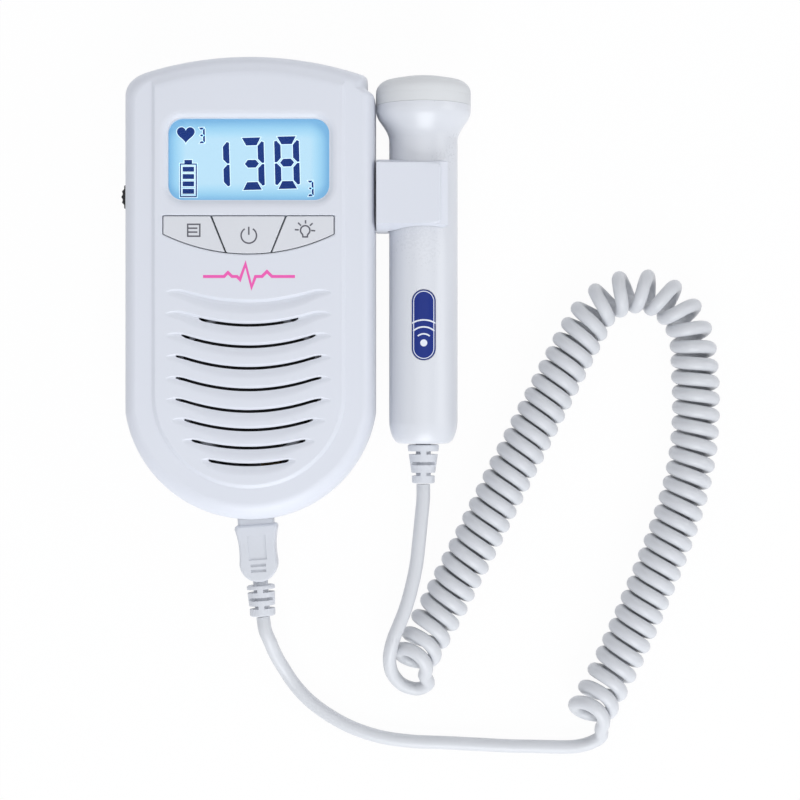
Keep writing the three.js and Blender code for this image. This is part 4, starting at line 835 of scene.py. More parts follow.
def case_outline(inset, foot_inset=0.0, top_inset=0.0):
    """The case's outline drawn in by an inset, and further in at its foot and top; counter-clockwise."""
    half = HALF_WIDTH - inset
    sweep = math.asin(HALF_WIDTH / BOTTOM_RADIUS)
    across, down = BOTTOM_RADIUS * half / HALF_WIDTH, BOTTOM_RADIUS - inset - foot_inset
    turns = [sweep * (i / 40 - 1) for i in range(81)]
    points = [(across * math.sin(t), BOTTOM_CENTRE_Y - down * math.cos(t)) for t in turns]
    notch_y = HALF_LENGTH - NOTCH_DROP
    notch_x = half - NOTCH_DEPTH
    top_start = notch_x - NOTCH_CORNER
    shoulder_y = top_edge_y(notch_x, inset + top_inset) - NOTCH_CORNER
    points += eased(points[-1], (half, notch_y), (notch_x, notch_y + NOTCH_SLOPE), 0.9)
    points += eased((half, notch_y), (notch_x, notch_y + NOTCH_SLOPE), (notch_x, shoulder_y), 0.5)
    top_y = top_edge_y(top_start, inset + top_inset)
    points += eased((notch_x, 0), (notch_x, shoulder_y + 0.6), (top_start, top_y), 0.6)
    corner_x = CORNER_RUN - half
    along_top = (top_start + (corner_x - top_start) * i / 28 for i in range(29))
    points += [(x, top_edge_y(x, inset + top_inset)) for x in along_top]
    start = Vector(points[-1])
    corner = Vector((-half, start.y - CORNER_RUN * corner_x / -TOP_RADIUS))
    end = Vector((-half, start.y - CORNER_DROP))
    shares = [i / 12 for i in range(1, 13)]
    points += [start.lerp(corner, s).lerp(corner.lerp(end, s), s) for s in shares]
    return [tuple(p) for p in points]


def case_body(rings):
    """A body through outlines of the case, each (insets..., height)."""
    return drawn_through([at_height(case_outline(*insets), z) for *insets, z in rings])


def panel_outline(inset):
    """The raised panel: its sides run up past the top of the case, its lower end is round."""
    half, end = HALF_WIDTH - PANEL_INSET - inset, PANEL_END_RADIUS - inset
    turns = [math.pi / 2 * (i / 40 - 1) for i in range(81)]
    points = [(half * math.sin(t), BOTTOM_CENTRE_Y - end * math.cos(t)) for t in turns]
    return [*points, (half, HALF_LENGTH + 3), (-half, HALF_LENGTH + 3)]


KEYPAD_DROP = KEYPAD_SAG - KEYPAD_SIDE
KEYPAD_RADIUS = (KEYPAD_HALF**2 + KEYPAD_DROP**2) / (2 * KEYPAD_DROP)


def keypad_edge_y(x):
    return KEYPAD_TOP - KEYPAD_SAG + KEYPAD_RADIUS - math.sqrt(KEYPAD_RADIUS**2 - x * x)


def key_outline(left, right, shrink_left, shrink_right, shrink_ends, corner=0.3):
    """A key between two slanted sides, each (x at the top, x at the foot), drawn in at its edges."""
    in_left = [x + shrink_left for x in left]
    in_right = [x - shrink_right for x in right]

    def side_x(side, y):
        top, foot = side
        return top + (foot - top) * (KEYPAD_TOP - y) / (KEYPAD_TOP - keypad_edge_y(foot))

    from_x = side_x(in_left, keypad_edge_y(left[1]) + shrink_ends)
    to_x = side_x(in_right, keypad_edge_y(right[1]) + shrink_ends)
    foot = []
    for i in range(25):
        x = from_x + (to_x - from_x) * i / 24
        foot.append((x, keypad_edge_y(min(max(x, -KEYPAD_HALF), KEYPAD_HALF)) + shrink_ends))
    top_y = KEYPAD_TOP - shrink_ends
    top_right, top_left = (side_x(in_right, top_y), top_y), (side_x(in_left, top_y), top_y)
    return [
        *eased(top_left, foot[0], foot[1], corner, 3),
        *foot[1:-1],
        *eased(foot[-2], foot[-1], top_right, corner, 3),
        *eased(foot[-1], top_right, top_left, corner, 3),
        *eased(top_right, top_left, foot[0], corner, 3),
    ]


# ---- louvres

LOUVRE_TOP, LOUVRE_PITCH, LOUVRE_HALF, LOUVRE_RISE = -4.8, 6.15, 23.6, 3.3
LOUVRE_TURN, LOUVRE_PEAK = 0.75, 0.89
LOUVRE_STEPS = [0, 1, 2, 3, 4, 5, 5.86, 6.70, 7.48]
LENGTH_SHARES = [1, 1, 1, 1, 1, 1, 0.925, 0.8, 0.57]
RISE_SHARES = [1, 1, 1, 1, 1, 1, 0.85, 0.62, 0.36]
SLOT_SHARES = [0, 0.6, 0.81, 0.88, 0.88, 0.88, 0.84, 0.86, 0.85]
SLOT_WIDTH = 0.85
# The scoop under a louvre's lip: (across, height), from the lip's crest down and out along the ramp.
SCOOP = [
    (0.9, 0.02), (0.8, -0.05), (0.62, -0.24), (0.4, -0.52), (0.18, -0.8), (0, -1), (-0.8, -0.96),
    (-1.1, -0.84), (-1.6, -0.54), (-2.2, -0.28), (-2.9, -0.1), (-3.7, 0.02),
]  # fmt: skip


def louvre_y(i, x):
    """A louvre's height at x: a parabola that eases off near its ends and turns down a little past its peak."""
    along = abs(x) / (LOUVRE_HALF * LENGTH_SHARES[i])
    past = max(0, along - LOUVRE_TURN)
    ease = past**2 / LOUVRE_PEAK * (1 / LOUVRE_TURN + 1 / (LOUVRE_PEAK - LOUVRE_TURN))
    rise = LOUVRE_RISE * RISE_SHARES[i]
    return LOUVRE_TOP - LOUVRE_PITCH * LOUVRE_STEPS[i] + rise * (along**2 / (LOUVRE_TURN * LOUVRE_PEAK) - ease)


def louvre_scoop(i):
    half, steps, rings = LOUVRE_HALF * LENGTH_SHARES[i], 56, []
    for k in range(steps + 1):
        x = half * math.sin(math.pi * (k / steps - 0.5))
        share = max(0.02, 1 - (x / half) ** 4) ** 0.8
        y = louvre_y(i, x)
        section = [(x + CASE_X, y + dy * (0.25 + 0.75 * share), PANEL_TOP + dz * share + 0.012) for dy, dz in SCOOP]
        rings.append([*section, (x + CASE_X, y - 3.7, PANEL_TOP + 2), (x + CASE_X, y + 1.05, PANEL_TOP + 2)])
    return drawn_through(rings)


def louvre_slot(i):
    half, steps, rings = LOUVRE_HALF * LENGTH_SHARES[i] * SLOT_SHARES[i], 40, []
    for k in range(steps + 1):
        x = half * (2 * k / steps - 1)
        width = SLOT_WIDTH * max(0.3, min(1, (1 - abs(x) / half) / 0.06)) ** 0.5
        y = louvre_y(i, x) + 0.1
        low, high = CEILING - 2, PANEL_TOP - 0.3
        corners = ((y - width, low), (y, low), (y, high), (y - width, high))
        rings.append([(x + CASE_X, *corner) for corner in corners])
    return drawn_through(rings)


# ---- case


def rail_cuts():
    side = CASE_X + HALF_WIDTH
    foot, top = HOLDER_Y - HOLDER_LENGTH / 2 - 0.4, HALF_LENGTH - NOTCH_DROP + NOTCH_SLOPE
    return [
        block((side - NOTCH_DEPTH, foot, TABLE_TO_SEAM - 3.5), (side - 1.1, top, TABLE_TO_SEAM + 3.5)),
        block((side - 1.4, foot, TABLE_TO_SEAM - 3.0), (side + 3, top, TABLE_TO_SEAM + 3.0)),
    ]


def rail(low, high):
    """The strip inside the case's right side that the holder's rail is cut into."""
    side = CASE_X + HALF_WIDTH
    return block((side - 4.4, HOLDER_Y - 12.6, low), (side - 0.3, 54.7, high))


def at_screws(radius, low, high, sides=32):
    return [post(radius, x + CASE_X, y, low, high, sides) for x, y in SCREWS]


def wheel_cut():
    side = CASE_X - HALF_WIDTH
    return block((side - 3, 20.2, TABLE_TO_SEAM - 1.9), (side + 5, 33.0, TABLE_TO_SEAM + 1.9), 0.3)


def neck_cut():
    x = PLUG_ORIGIN.x
    return block((x - 5.95, -HALF_LENGTH - 3, 8.5), (x + 5.95, -HALF_LENGTH + 4, 15.5), 0.4)


def add_front_case():
    rings = [(0.2, 0.2, 0, TABLE_TO_SEAM + SEAM), (0, 0, 0, TABLE_TO_SEAM + SEAM + 0.25)]
    rings.append((SIDE_DRAFT, FOOT_DRAFT, TOP_DRAFT, LEDGE - BEVEL_RISE))
    for i in range(1, 9):
        turn = math.pi / 2 * i / 8
        run = 1 - math.cos(turn)
        end = run**0.55
        insets = (SIDE_DRAFT + (BEVEL_RUN - SIDE_DRAFT) * run, FOOT_DRAFT + (BEVEL_FOOT - FOOT_DRAFT) * end)
        rings.append((*insets, TOP_DRAFT + (BEVEL_TOP - TOP_DRAFT) * end, LEDGE - BEVEL_RISE * (1 - math.sin(turn))))
    rings += [(4.45, BEVEL_FOOT, 1.6, 29.72), (4.8, BEVEL_FOOT, 2.0, 29.94), (5.3, BEVEL_FOOT, 2.6, PANEL_TOP)]
    case = case_body(rings)
    hollow = [(2, 0, 0, 12), (2.35, 0.25, 1.1, 22.9), (3.8, 1.8, 1.3, 25.7), (6, 1.8, 1.3, CEILING)]
    cut(case, case_body(hollow))
    above = block((-90, -90, LEDGE), (60, 90, PANEL_TOP + 3))
    panel = [
        (-0.5, 26), (-0.5, LEDGE), (-0.2, LEDGE + 0.08), (PANEL_SLOPE - 0.1, PANEL_TOP - 0.1),
        (0.95, PANEL_TOP), (0.95, 36),
    ]  # fmt: skip
    cut(case, cut(above, drawn_through([at_height(panel_outline(inset), z) for inset, z in panel])))
    strip = rail(TABLE_TO_SEAM + SEAM, TABLE_TO_SEAM + 5)
    posts = at_screws(POST_RADIUS, TABLE_TO_SEAM + SEAM, CEILING + 0.3)
    seat = turned(ring_profile(20.3, 21.8, 23.3, 27.6), (CASE_X, SPEAKER_Y, 0), "Z", 64)
    join(case, strip, together(*posts), seat)
    bores = at_screws(BORE_RADIUS, 12, 21.3)
    keypad = [(0, 24.3), (0, 29.55), (-0.15, 29.84), (-0.45, PANEL_TOP + 0.02), (-0.45, 33)]
    whole = ((-KEYPAD_HALF, -KEYPAD_HALF), (KEYPAD_HALF, KEYPAD_HALF))
    key_hole = drawn_through([at_height(key_outline(*whole, grow, grow, grow), z) for grow, z in keypad])
    window = [(0.3, 24.3), (0.3, 28.95), (0.36, 29.02), (0.62, 29.04), (1.2, 29.6), (1.8, 29.86), (2.4, 29.97)]
    window += [(3.0, 30.02), (3.0, 33)]
    window_hole = drawn_through(
        [
            at_height(
                rounded_rectangle(LENS_WIDTH + 2 * grow, LENS_HEIGHT + 2 * grow, LENS_CORNER + grow, LENS_Y), z
            )
            for grow, z in window
        ]
    )
    wide, narrow = rail_cuts()
    cut(case, together(*bores, wheel_cut(), wide, key_hole, window_hole, neck_cut()), narrow)
    cut(case, together(*[louvre_scoop(i) for i in range(9)]))
    cut(case, together(*[louvre_slot(i) for i in range(1, 9)]))
    finished(case, "case_front", "shell", "case", "front_case", angle=28)


BACK_BEVEL = [(5.6, 0), (4.6, 0.22), (3.6, 0.75), (2.5, 1.6), (1.5, 2.7), (0.7, 4.1), (0.2, 5.2), (0, 6.2)]


def add_rear_case():
    case = case_body([*BACK_BEVEL, (0, TABLE_TO_SEAM - SEAM - 0.25), (0.2, TABLE_TO_SEAM - SEAM)])
    cut(case, case_body([(7, 2), (3, 5.6), (2, 8), (2, 18)]))
    bay_half, bay_top = 14.8, 56.6
    door_top = top_edge_y(0, 5)
    x = CASE_X
    strip = rail(TABLE_TO_SEAM - 5, TABLE_TO_SEAM - SEAM)
    bay = block((x - bay_half - 1.4, 0.6, 1), (x + bay_half + 1.4, bay_top + 1.4, 18.55))
    seat = block((x - bay_half - 2.9, -0.3, 1), (x + bay_half + 2.9, door_top - 1.4, 3.75))
    posts = at_screws(POST_RADIUS, 1, TABLE_TO_SEAM - SEAM)
    join(case, strip, bay, seat, together(*posts))
    door_half = bay_half - 0.75
    cut(
        case,
        block((x - bay_half, 2, -3), (x + bay_half, bay_top, 17.15)),
        block((x - door_half - 0.4, 1.1, -3), (x + door_half + 0.4, HALF_LENGTH, 2.35)),
        block((x - door_half - 1.9, 1.1, 0.85), (x + door_half + 1.9, HALF_LENGTH, 2.35)),
    )
    shafts = at_screws(BORE_RADIUS, -3, 18)
    sinks = at_screws(SINK_RADIUS, -3, 5, 48)
    wide, narrow = rail_cuts()
    cut(case, together(*shafts, wheel_cut(), wide, neck_cut()), together(*sinks), narrow)
    finished(case, "case_back", "shell", "case", "rear_case", angle=28)


def add_screws():
    for i, (x, y) in enumerate(SCREWS):
        profile = [(0, 3.1), (1.9, 3.12), (2.45, 3.3), (2.6, 3.6), (2.6, 4.7), (1.3, 4.7), (1.3, 20.7), (0, 21)]
        screw = turned(profile, (x + CASE_X, y, 0), "Z", 48)
        for half in ((1.5, 0.28), (0.28, 1.5)):
            cut(screw, block((x + CASE_X - half[0], y - half[1], 2), (x + CASE_X + half[0], y + half[1], 4.0)))
        finished(screw, f"screw_{i + 1}", "steel", "case", f"case_screw_{i + 1}")


def add_volume_wheel():
    x, y, rings = CASE_X - HALF_WIDTH + 4.5, 26.6, []
    for inset, z in ((0.3, -1.5), (0, -1.25), (0, 1.25), (0.3, 1.5)):
        ring = []
        for i in range(240):
            turn = 2 * math.pi * i / 240
            r = 6.5 - inset - 0.35 * (0.5 - 0.5 * math.cos(24 * turn)) ** 0.7
            ring.append((x + r * math.cos(turn), y + r * math.sin(turn), TABLE_TO_SEAM + z))
        rings.append(ring)
    wheel = cut(drawn_through(rings), post(1.8, x, y, 12, 18, 48))
    finished(wheel, "volume_wheel_knurled", "black", "volume_wheel", "volume_wheel", angle=25)


# ---- keys and their marks


def stroke(points, width, low, high, closed=False):
    """A flat printed line along points."""
    points = [Vector(p[:2]) for p in points]
    count, left, right = len(points), [], []
    for i, point in enumerate(points):
        before = points[i - 1] if i or closed else point
        after = points[(i + 1) % count] if i + 1 < count or closed else point
        into, out = (point - before), (after - point)
        if not into.length:
            into = out
        if not out.length:
            out = into
        side = (into.normalized() + out.normalized()).normalized()
        side = Vector((-side.y, side.x))
        reach = width / 2 / max(0.4, side.dot(Vector((-into.y, into.x)).normalized()))
        left.append(point + side * reach)
        right.append(point - side * reach)
    if not closed:
        return drawn_through([[(*p, z) for p in left + right[::-1]] for z in (low, high)])
    outer, inner = (left, right) if signed_area(left) ** 2 > signed_area(right) ** 2 else (right, left)
    ring = drawn_through([[(*p, z) for p in outer] for z in (low, high)])
    return cut(ring, drawn_through([[(*p, z) for p in inner] for z in (low - 0.1, high + 0.1)]))


def signed_area(points):
    return sum(a[0] * b[1] - b[0] * a[1] for a, b in zip(points, points[1:] + points[:1])) / 2


def pixels(points, height):
    """Points of the photograph as millimetres on a level surface."""
    return [tuple(c / MM for c in at_pixel(px, py, height * MM)[:2]) for px, py in points]


def add_keys():
    for name, left, right, outer_left, outer_right in (
        ("menu", (-KEYPAD_HALF, -KEYPAD_HALF), (-POWER_TOP, -POWER_FOOT), True, False),
        ("power", (-POWER_TOP, -POWER_FOOT), (POWER_TOP, POWER_FOOT), False, False),
        ("light", (POWER_TOP, POWER_FOOT), (KEYPAD_HALF, KEYPAD_HALF), False, True),
    ):
        near, far = (0.22 if outer_left else 0.24), (0.22 if outer_right else 0.24)
        rings = []
        for inset, z in ((0, FLANGE_TOP - 0.3), (0, 29.62), (0.05, 29.76), (0.14, 29.86), (0.28, KEY_TOP)):
            rings.append(at_height(key_outline(left, right, near + inset, far + inset, 0.22 + inset), z))
        wide = [-FLANGE if outer_left else 0.15, -FLANGE if outer_right else 0.15]
        levels = (FLANGE_TOP - FLANGE_DEPTH, FLANGE_TOP)
        flange = [at_height(key_outline(left, right, *wide, -FLANGE), z) for z in levels]
        key = join(drawn_through(rings), drawn_through(flange))
        finished(key, f"key_{name}_cap", "key", f"{name}_key", f"key_{name}", angle=40)


def add_key_marks():
    low, high = KEY_TOP - 0.02, KEY_TOP + 0.025
    width = 0.42

    def line(points, closed=False):
        return stroke(pixels(points, KEY_TOP), width, low, high, closed)

    def ring(px, py, radius, start, end, closed=False):
        points = arc(px, py, radius, start, end, 40)
        return line(points[:-1] if closed else points, closed)

    square = line([(187.7, 224.3), (199.8, 224.3), (199.8, 236.2), (187.7, 236.2)], True)
    rows = [line([(188.3, y), (197.4, y)]) for y in (228.2, 232.1)]
    finished(together(square, *rows), "menu_key_mark", "print_grey", "menu_key")
    power = [ring(248.8, 235.5, 7.7, -58, 238), line([(248.8, 226.8), (248.8, 234.8)])]
    finished(together(*power), "power_key_mark", "print_grey", "power_key")
    bulb = [ring(305.2, 230.4, 4.7, 122, 418), line([(302.7, 234.3), (302.9, 236.9), (307.4, 236.9), (307.6, 234.3)])]
    rays = [
        ((305.6, 220.2), (305.5, 223.6)),
        ((298.1, 222.7), (301.0, 225.7)),
        ((312.6, 223.2), (309.9, 225.8)),
        ((294.8, 229.7), (298.8, 229.9)),
        ((311.1, 230.5), (315.2, 230.8)),
    ]
    finished(together(*bulb, *[line(ray) for ray in rays]), "light_key_mark", "print_grey", "light_key")


def add_pulse_mark():
    trace = [
        (203, 276.5), (224, 276.5), (228, 272.5), (232, 276.5), (237, 276.5), (240, 279.5), (245.5, 264),
        (251.5, 287), (255.5, 276.5), (262, 276.5), (267, 271.5), (272, 276.5), (295, 276.5),
    ]  # fmt: skip
    mark = stroke(pixels(trace, PANEL_TOP), 0.85, PANEL_TOP - 0.02, PANEL_TOP + 0.025)
    finished(mark, "pulse_mark", "print_pink", "case")


# ---- display


def grown(points, by):
    """A filled shape's outline moved outwards."""
    points = [Vector(p[:2]) for p in points]
    if signed_area(points) < 0:
        points.reverse()
    moved = []
    for i, point in enumerate(points):
        into = (point - points[i - 1]).normalized()
        out = (points[(i + 1) % len(points)] - point).normalized()
        side = Vector((into.y + out.y, -into.x - out.x)).normalized()
        moved.append(point + side * by / max(0.5, side.dot(Vector((into.y, -into.x)))))
    return moved


def digit_strokes(left, top, right, foot, bars, across, down, gap=0.9, turn=-1.5):
    """The lit bars of a seven-bar digit as outlines in pixels of the photograph."""
    middle = (top + foot) / 2
    near, far = left + across * 1.35, right - across * 1.35
    middle_left, middle_right = (left + across * 0.85, middle), (right - across * 0.85, middle)
    above, below = middle - down / 2, middle + down / 2
    shapes = {"middle": [middle_left, (near, above), (far, above), middle_right, (far, below), (near, below)]}
    for name, y, rise in (("top", top, down), ("foot", foot, -down)):
        outer = [(left + gap + across * 0.35, y), (right - gap - across * 0.35, y)]
        shapes[name] = [*outer, (right - across - gap, y + rise), (left + across + gap, y + rise)]
    for name, edge, inward in (("left", left, 1), ("right", right, -1)):
        inner = edge + inward * across
        tip = edge + inward * across * 0.35
        for level, (y0, y1) in (("upper", (top, middle)), ("lower", (foot, middle))):
            way = 1 if y1 > y0 else -1
            shapes[f"{level}_{name}"] = [
                (edge, y0 + way * (down * 0.5 + gap)),
                (tip, y0 + way * (down * 0.38 + gap)),
                (inner, y0 + way * (down + gap * 0.9)),
                (inner, y1 - way * (down * 0.55 + gap * 0.6)),
                (tip, y1 - way * gap * 0.55),
                (edge, y1 - way * gap * 0.8),
            ]
    centre = Vector(((left + right) / 2, middle))
    spun = Matrix.Rotation(math.radians(turn), 2)
    return [[tuple(spun @ (Vector(p) - centre) + centre) for p in shapes[bar]] for bar in bars]


def heart(px, py, width, height):
    points = []
    for i in range(72):
        t = 2 * math.pi * i / 72
        x = 16 * math.sin(t) ** 3
        y = 13 * math.cos(t) - 5 * math.cos(2 * t) - 2 * math.cos(3 * t) - math.cos(4 * t)
        points.append((px + x / 32 * width, py - (y + 2.5) / 29 * height))
    return points


def box(left, top, right, foot):
    return [(left, top), (right, top), (right, foot), (left, foot)]


def add_display():
    three = ("top", "middle", "foot", "upper_right", "lower_right")
    shapes = [heart(185.8, 135.3, 17.8, 16.3)]
    shapes += digit_strokes(198.4, 127.6, 204.9, 143.3, three, 1.9, 2.0, 0.2)
    shapes += digit_strokes(307.2, 180.6, 313.6, 196.2, three, 1.9, 2.0, 0.2)
    shapes += digit_strokes(204.6, 138.3, 229.6, 190.6, ("upper_right", "lower_right"), 6.3, 7.8)
    shapes += digit_strokes(239.4, 137.6, 264.3, 189.9, three, 6.3, 7.8)
    eight = (*three, "upper_left", "lower_left")
    shapes += digit_strokes(274.7, 136.4, 299.5, 188.8, eight, 6.3, 7.8)
    shapes.append(box(184.4, 159.9, 192.1, 163.9))
    shapes += [box(182.6, y, 194.1, y + 4.9) for y in (166.8, 174.1, 181.4, 188.9)]
    shapes += [box(179.9, y, 196.9, foot) for y, foot in ((163.5, 164.7), (196.0, 197.2))]
    shapes += [box(x, 164.7, right, 196.0) for x, right in ((179.9, 181.1), (195.7, 196.9))]
    flat = [pixels(shape, LCD_TOP) for shape in shapes]
    # The first pieces are a pale rim round each mark with its own glow, a painted highlight; the second are the marks'
    # ink.
    for name, material, low, high, by in (
        ("display_painted_halo", "halo", -0.02, 0.012, 0.2),
        ("display_ink", "ink", -0.01, 0.035, 0.0),
    ):
        parts = []
        for shape in flat:
            outline = grown(shape, by) if by else shape
            parts.append(drawn_through([[(*p[:2], LCD_TOP + z) for p in outline] for z in (low, high)]))
        finished(together(*parts), name, material, "case")
    rings = []
    for inset, z in ((0.2, CEILING), (0, CEILING + 0.2), (0, LENS_TOP - 0.3), (0.09, LENS_TOP - 0.09), (0.3, LENS_TOP)):
        outline = rounded_rectangle(LENS_WIDTH - 2 * inset, LENS_HEIGHT - 2 * inset, LENS_CORNER - inset, LENS_Y)
        rings.append(at_height(outline, z))
    finished(drawn_through(rings), "display_window", "lens", "case", "display_lens")


# ---- holder and probe


def add_holder():
    inner, outer = HANDLE + 0.3, HANDLE + 2.6
    foot_x = HALF_WIDTH + 0.3 - 50
    tip = math.degrees(math.acos(6.9 / outer))
    section = [(foot_x, -outer), *arc(0, 0, outer, -90, -tip, 12), *arc(0, 0, inner, -tip, tip - 360, 72)]
    section += [*arc(0, 0, outer, tip, 90, 12), (foot_x, outer)]
    ends = [(-HOLDER_LENGTH / 2 + HOLDER_Y), (HOLDER_LENGTH / 2 + HOLDER_Y)]
    clip = drawn_through([[(x + PROBE_X, y, z + PROBE_Z) for x, z in section] for y in ends])
    taper = (HOLDER_LENGTH - PLATE_LENGTH) / 2
    for side_y in (1, -1):
        for side_z in (1, -1):
            end = HOLDER_Y + side_y * HOLDER_LENGTH / 2
            wedge = [
                (end - side_y * taper, side_z * (outer + 3)),
                (end - side_y * taper, side_z * outer),
                (end, side_z * outer / 2),
                (end + side_y * 3, side_z * outer / 2),
                (end + side_y * 3, side_z * (outer + 3)),
            ]
            span = (PROBE_X - outer - 4, PROBE_X + outer)
            cut(clip, drawn_through([[(x, y, z + PROBE_Z) for y, z in wedge] for x in span]))
    rounded_edges(clip, 0.35, 35, 3)
    levels = ((0, inner + 0.3), (0, outer - 0.6), (0.08, outer - 0.27), (0.27, outer - 0.08), (0.6, outer + 0.01))
    rings = []
    for inset, z in levels:
        size = (PLATE_REACH + inner - 2 * inset, PLATE_LENGTH - 2 * inset, 1.5 - inset)
        rings.append(at_height(rounded_rectangle(*size, 0, (PLATE_REACH - inner) / 2), z + PROBE_Z, PROBE_X, HOLDER_Y))
    join(clip, drawn_through(rings))
    side = CASE_X + HALF_WIDTH
    length = HOLDER_LENGTH / 2
    neck = block((side - 1.4, HOLDER_Y - length, 12.4), (PROBE_X + foot_x + 0.3, HOLDER_Y + length, 17.6))
    foot = block((side - 2.1, HOLDER_Y - length, 11.8), (side - 1.4, HOLDER_Y + length, 18.2))
    join(clip, neck, foot)
    finished(clip, "probe_clip", "shell", "case", "probe_holder", angle=30)


FOOT_CURVE = [
    (6.4, -45.3), (7.3, -45.2), (7.95, -44.85), (8.5, -44.25), (9, -43.4), (9.42, -42.3), (9.75, -41),
    (9.94, -39.9), (HANDLE, -38.8),
]  # fmt: skip
FLARE_CURVE = [
    (HANDLE, 43), (10.06, 43.7), (10.3, 44.6), (10.77, 45.7), (11.5, 46.95), (12.35, 48.15), (13, 49.1),
    (13.45, 49.95), (13.75, 50.8), (13.85, 51.6), (13.85, 52.97),
]  # fmt: skip


def handle_patch(inner, outer, width, length, steps=96):
    """The part of a ring round the handle that lies over the label's rounded outline."""
    profile = ring_profile(inner, outer, LABEL_Y - LABEL_HALF, LABEL_Y + LABEL_HALF)
    patch = turned(profile, (PROBE_X, 0, PROBE_Z), steps=steps)
    outline = rounded_rectangle(width, length, width / 2 - 0.001, LABEL_Y, 0, 16)
    return common(patch, drawn_through([at_height(outline, z, PROBE_X) for z in (PROBE_Z, 45)]))


def add_probe():
    centre = (PROBE_X, 0, PROBE_Z)
    inside = [(12.05, 52.97), (12.05, 50.3), (8.2, 43.6), (8.2, -40.5), (2.7, -40.5), (2.7, -45.3)]
    handle = turned([(2.7, -45.3), *FOOT_CURVE, *FLARE_CURVE, *inside], centre)
    cut(handle, handle_patch(9.45, 13, 7.0, 20.5))
    finished(handle, "probe_handle", "probe", "probe", "probe_body", angle=25)
    label = handle_patch(9.6, 10.06, 6.7, 20.2, steps=128)
    finished(label, "probe_label_print", "label", "probe", "probe_label", angle=30)
    cap = [
        (9.95, 50.5), (11.75, 50.5), (11.75, 53.03), (13.78, 53.03), (13.85, 53.1), (13.85, 55.8),
        (13.79, 55.86), (13.85, 55.92),
    ]  # fmt: skip
    cap += [
        (13.85, 56.8), (13.76, 57.65), (13.52, 58.3), (13.15, 58.9), (12.7, 59.4), (12.15, 59.85),
        (11.5, 60.18), (10.85, 60.37), (10.2, 60.45),
    ]  # fmt: skip
    cap += [(10.04, 60.4), (10.04, 58.9), (9.95, 58.9), (9.95, 50.5)]
    finished(turned(cap, centre), "probe_head_ring", "cap", "probe", "probe_cap", angle=35)
    window = [
        (0, 59.2), (9.8, 59.2), (9.94, 60.42), (9.8, 60.52), (8.6, 60.85), (7, 61.2), (5.2, 61.5),
        (3.4, 61.73), (1.7, 61.86), (0, 61.9),
    ]  # fmt: skip
    finished(turned(window, centre), "probe_face", "cap", "probe", "acoustic_window", angle=35)


# ---- strain reliefs and plug


def sleeve(length, radius, end_radius):
    """A tapered sleeve below y = 0 with slots cut in turn from its sides and from front and back."""
    profile = [
        (0, -length), (end_radius - 0.5, -length), (end_radius - 0.15, 0.15 - length),
        (end_radius, 0.5 - length),
    ]  # fmt: skip
    profile += [(end_radius, 2.2 - length), (radius, -0.8), (radius - 0.15, -0.42), (radius - 0.5, -0.3), (0, -0.3)]
    piece = turned(profile, (0, 0, 0), steps=64)
    pitch = (length - 2.2) / 3
    for i in range(3):
        y = 2.2 - length + i * pitch
        for side in (-1, 1):
            near = side * (1.44 if i % 2 else 0.85)
            low, high = min(near, side * 9), max(near, side * 9)
            if i % 2:
                tool = block((-9, y, low), (9, y + 0.9, high))
            else:
                tool = block((low, y, -9), (high, y + 0.9, 9))
            cut(piece, tool)
    rounded_edges(piece, 0.12, 50)
    core = [(0, -length + 0.2), (2.2, -length + 0.2), (2.2, 1), (0, 1)]
    return join(piece, turned(core, (0, 0, 0), steps=48))


def put(piece, place, lean=0):
    piece.rotation_euler.z = math.radians(lean)
    piece.location = Vector(place) * MM
    return settle(piece)


def boot_outline(inset):
    half, shoulder, foot = 6.25 - inset, -3.2 - inset, -20.8
    round_y, waist = foot + 6.25, 0.7

    def side(sign):
        start, end = Vector((sign * half, shoulder - 1.2)), Vector((sign * (half - waist), round_y))
        bend = Vector((sign * (half - 2 * waist), (shoulder + round_y) / 2))
        return [start.lerp(bend, s / 14).lerp(bend.lerp(end, s / 14), s / 14) for s in range(15)]

    left, right = side(-1), side(1)[::-1]
    foot_arc = arc(0, round_y, half - waist, 180, 360, 32)[1:-1]
    top_right = eased(right[-1], (half, shoulder), (0, shoulder), 1.15, 5)
    top_left = eased((0, shoulder), (-half, shoulder), left[0], 1.15, 5)
    return [*left, *foot_arc, *right, *top_right[1:], *top_left[:-1]]


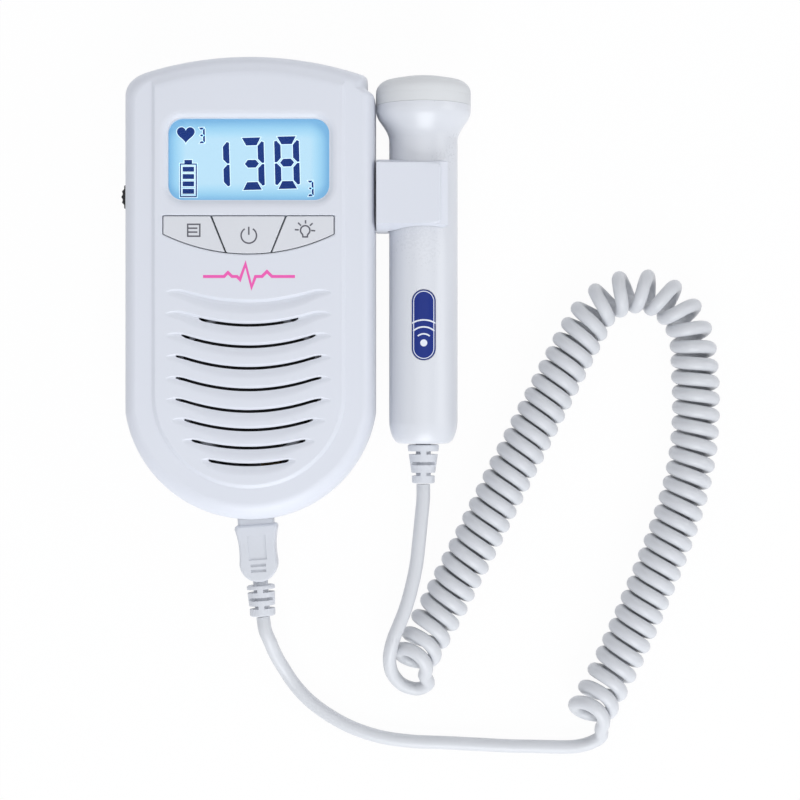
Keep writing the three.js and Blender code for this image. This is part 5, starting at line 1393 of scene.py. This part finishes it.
def add_plug():
    levels = [(0.9, 0.0), (0.42, 0.12), (0.12, 0.42), (0.0, 0.9)]
    heights = [(inset, rise - 4) for inset, rise in levels] + [(inset, 4 - rise) for inset, rise in levels[::-1]]
    rings = [at_height(boot_outline(inset), z, 0.0) for inset, z in heights]
    boot = drawn_through(rings)
    join(boot, block((-5.25, -4.4, -3.2), (5.25, 0, 3.2), 0.9))
    panel_top, panel_foot = -6.4, -13.5
    recess = block((-2.6, panel_foot, 3.65), (2.6, panel_top, 6), 0)
    bars = [block((-2.2, panel_foot - 1.6 * i - 0.4, 3.5), (2.2, panel_foot - 1.6 * i + 0.4, 6)) for i in (1, 2)]
    cut(boot, together(recess, *bars))
    rounded_edges(boot, 0.1, 50)
    put(boot, PLUG_ORIGIN, BOOT_LEAN)
    boot = finished(boot, "plug_boot_moulded", "cord", "plug", "plug_boot", angle=30)
    relief = sleeve(9.4, 4.15, 3.75)
    put(relief, (0, -20.8, 0))
    put(relief, PLUG_ORIGIN, BOOT_LEAN)
    relief = finished(relief, "plug_sleeve", "cord", "plug", "plug_strain_relief", angle=30)
    return boot, relief


def add_probe_relief():
    relief = sleeve(11.6, 4.6, 3.35)
    anchor = [(0, 0.5), (2.4, 0.5), (2.4, 5.1), (6, 5.1), (6, 6.7), (0, 6.7)]
    join(relief, turned(anchor, (0, 0, 0), steps=32))
    put(relief, (PROBE_X, -45.3, PROBE_Z))
    finished(relief, "probe_sleeve", "cord", "probe", "probe_strain_relief", angle=30)


# ---- all pieces

for material, nodes in {
    "glow": ["lcd_backlight"],
    "display": ["lcd_panel"],
    "board": ["main_board", "socket_board", "probe_board"],
    "chip": ["main_chip", "audio_chip"],
    "black": ["speaker_frame", "switch_menu", "switch_power", "switch_light", "volume_pot"],
    "paper": ["speaker_cone"],
    "magnet": ["speaker_magnet"],
    "cloth": ["speaker_cloth"],
    "brass": ["plunger_menu", "plunger_power", "plunger_light"],
    "cell": ["battery_1", "battery_2"],
    "steel": ["contact_spring_1", "contact_spring_2", "contact_plate", "usb_socket", "plug_shell"],
    "ribbon": ["socket_ribbon"],
    "ceramic": ["crystal_left", "crystal_right"],
    "foam": ["crystal_backing"],
}.items():
    for node in nodes:
        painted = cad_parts[node].data.materials
        painted.clear()
        painted.append(MATERIALS[material])

add_front_case()
add_rear_case()
dressed("battery_door", "shell", "battery_door", 0.15)
add_screws()
add_volume_wheel()
add_keys()
add_key_marks()
add_pulse_mark()
add_display()
add_holder()
add_probe()
add_probe_relief()
plug_boot, plug_sleeve = add_plug()
with_plug = [plug_boot, plug_sleeve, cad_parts["plug_shell"]]
describe_cord(plug_lead, plug_points, plug_points[0], "plug", "limp", "loose", with_pieces=with_plug)
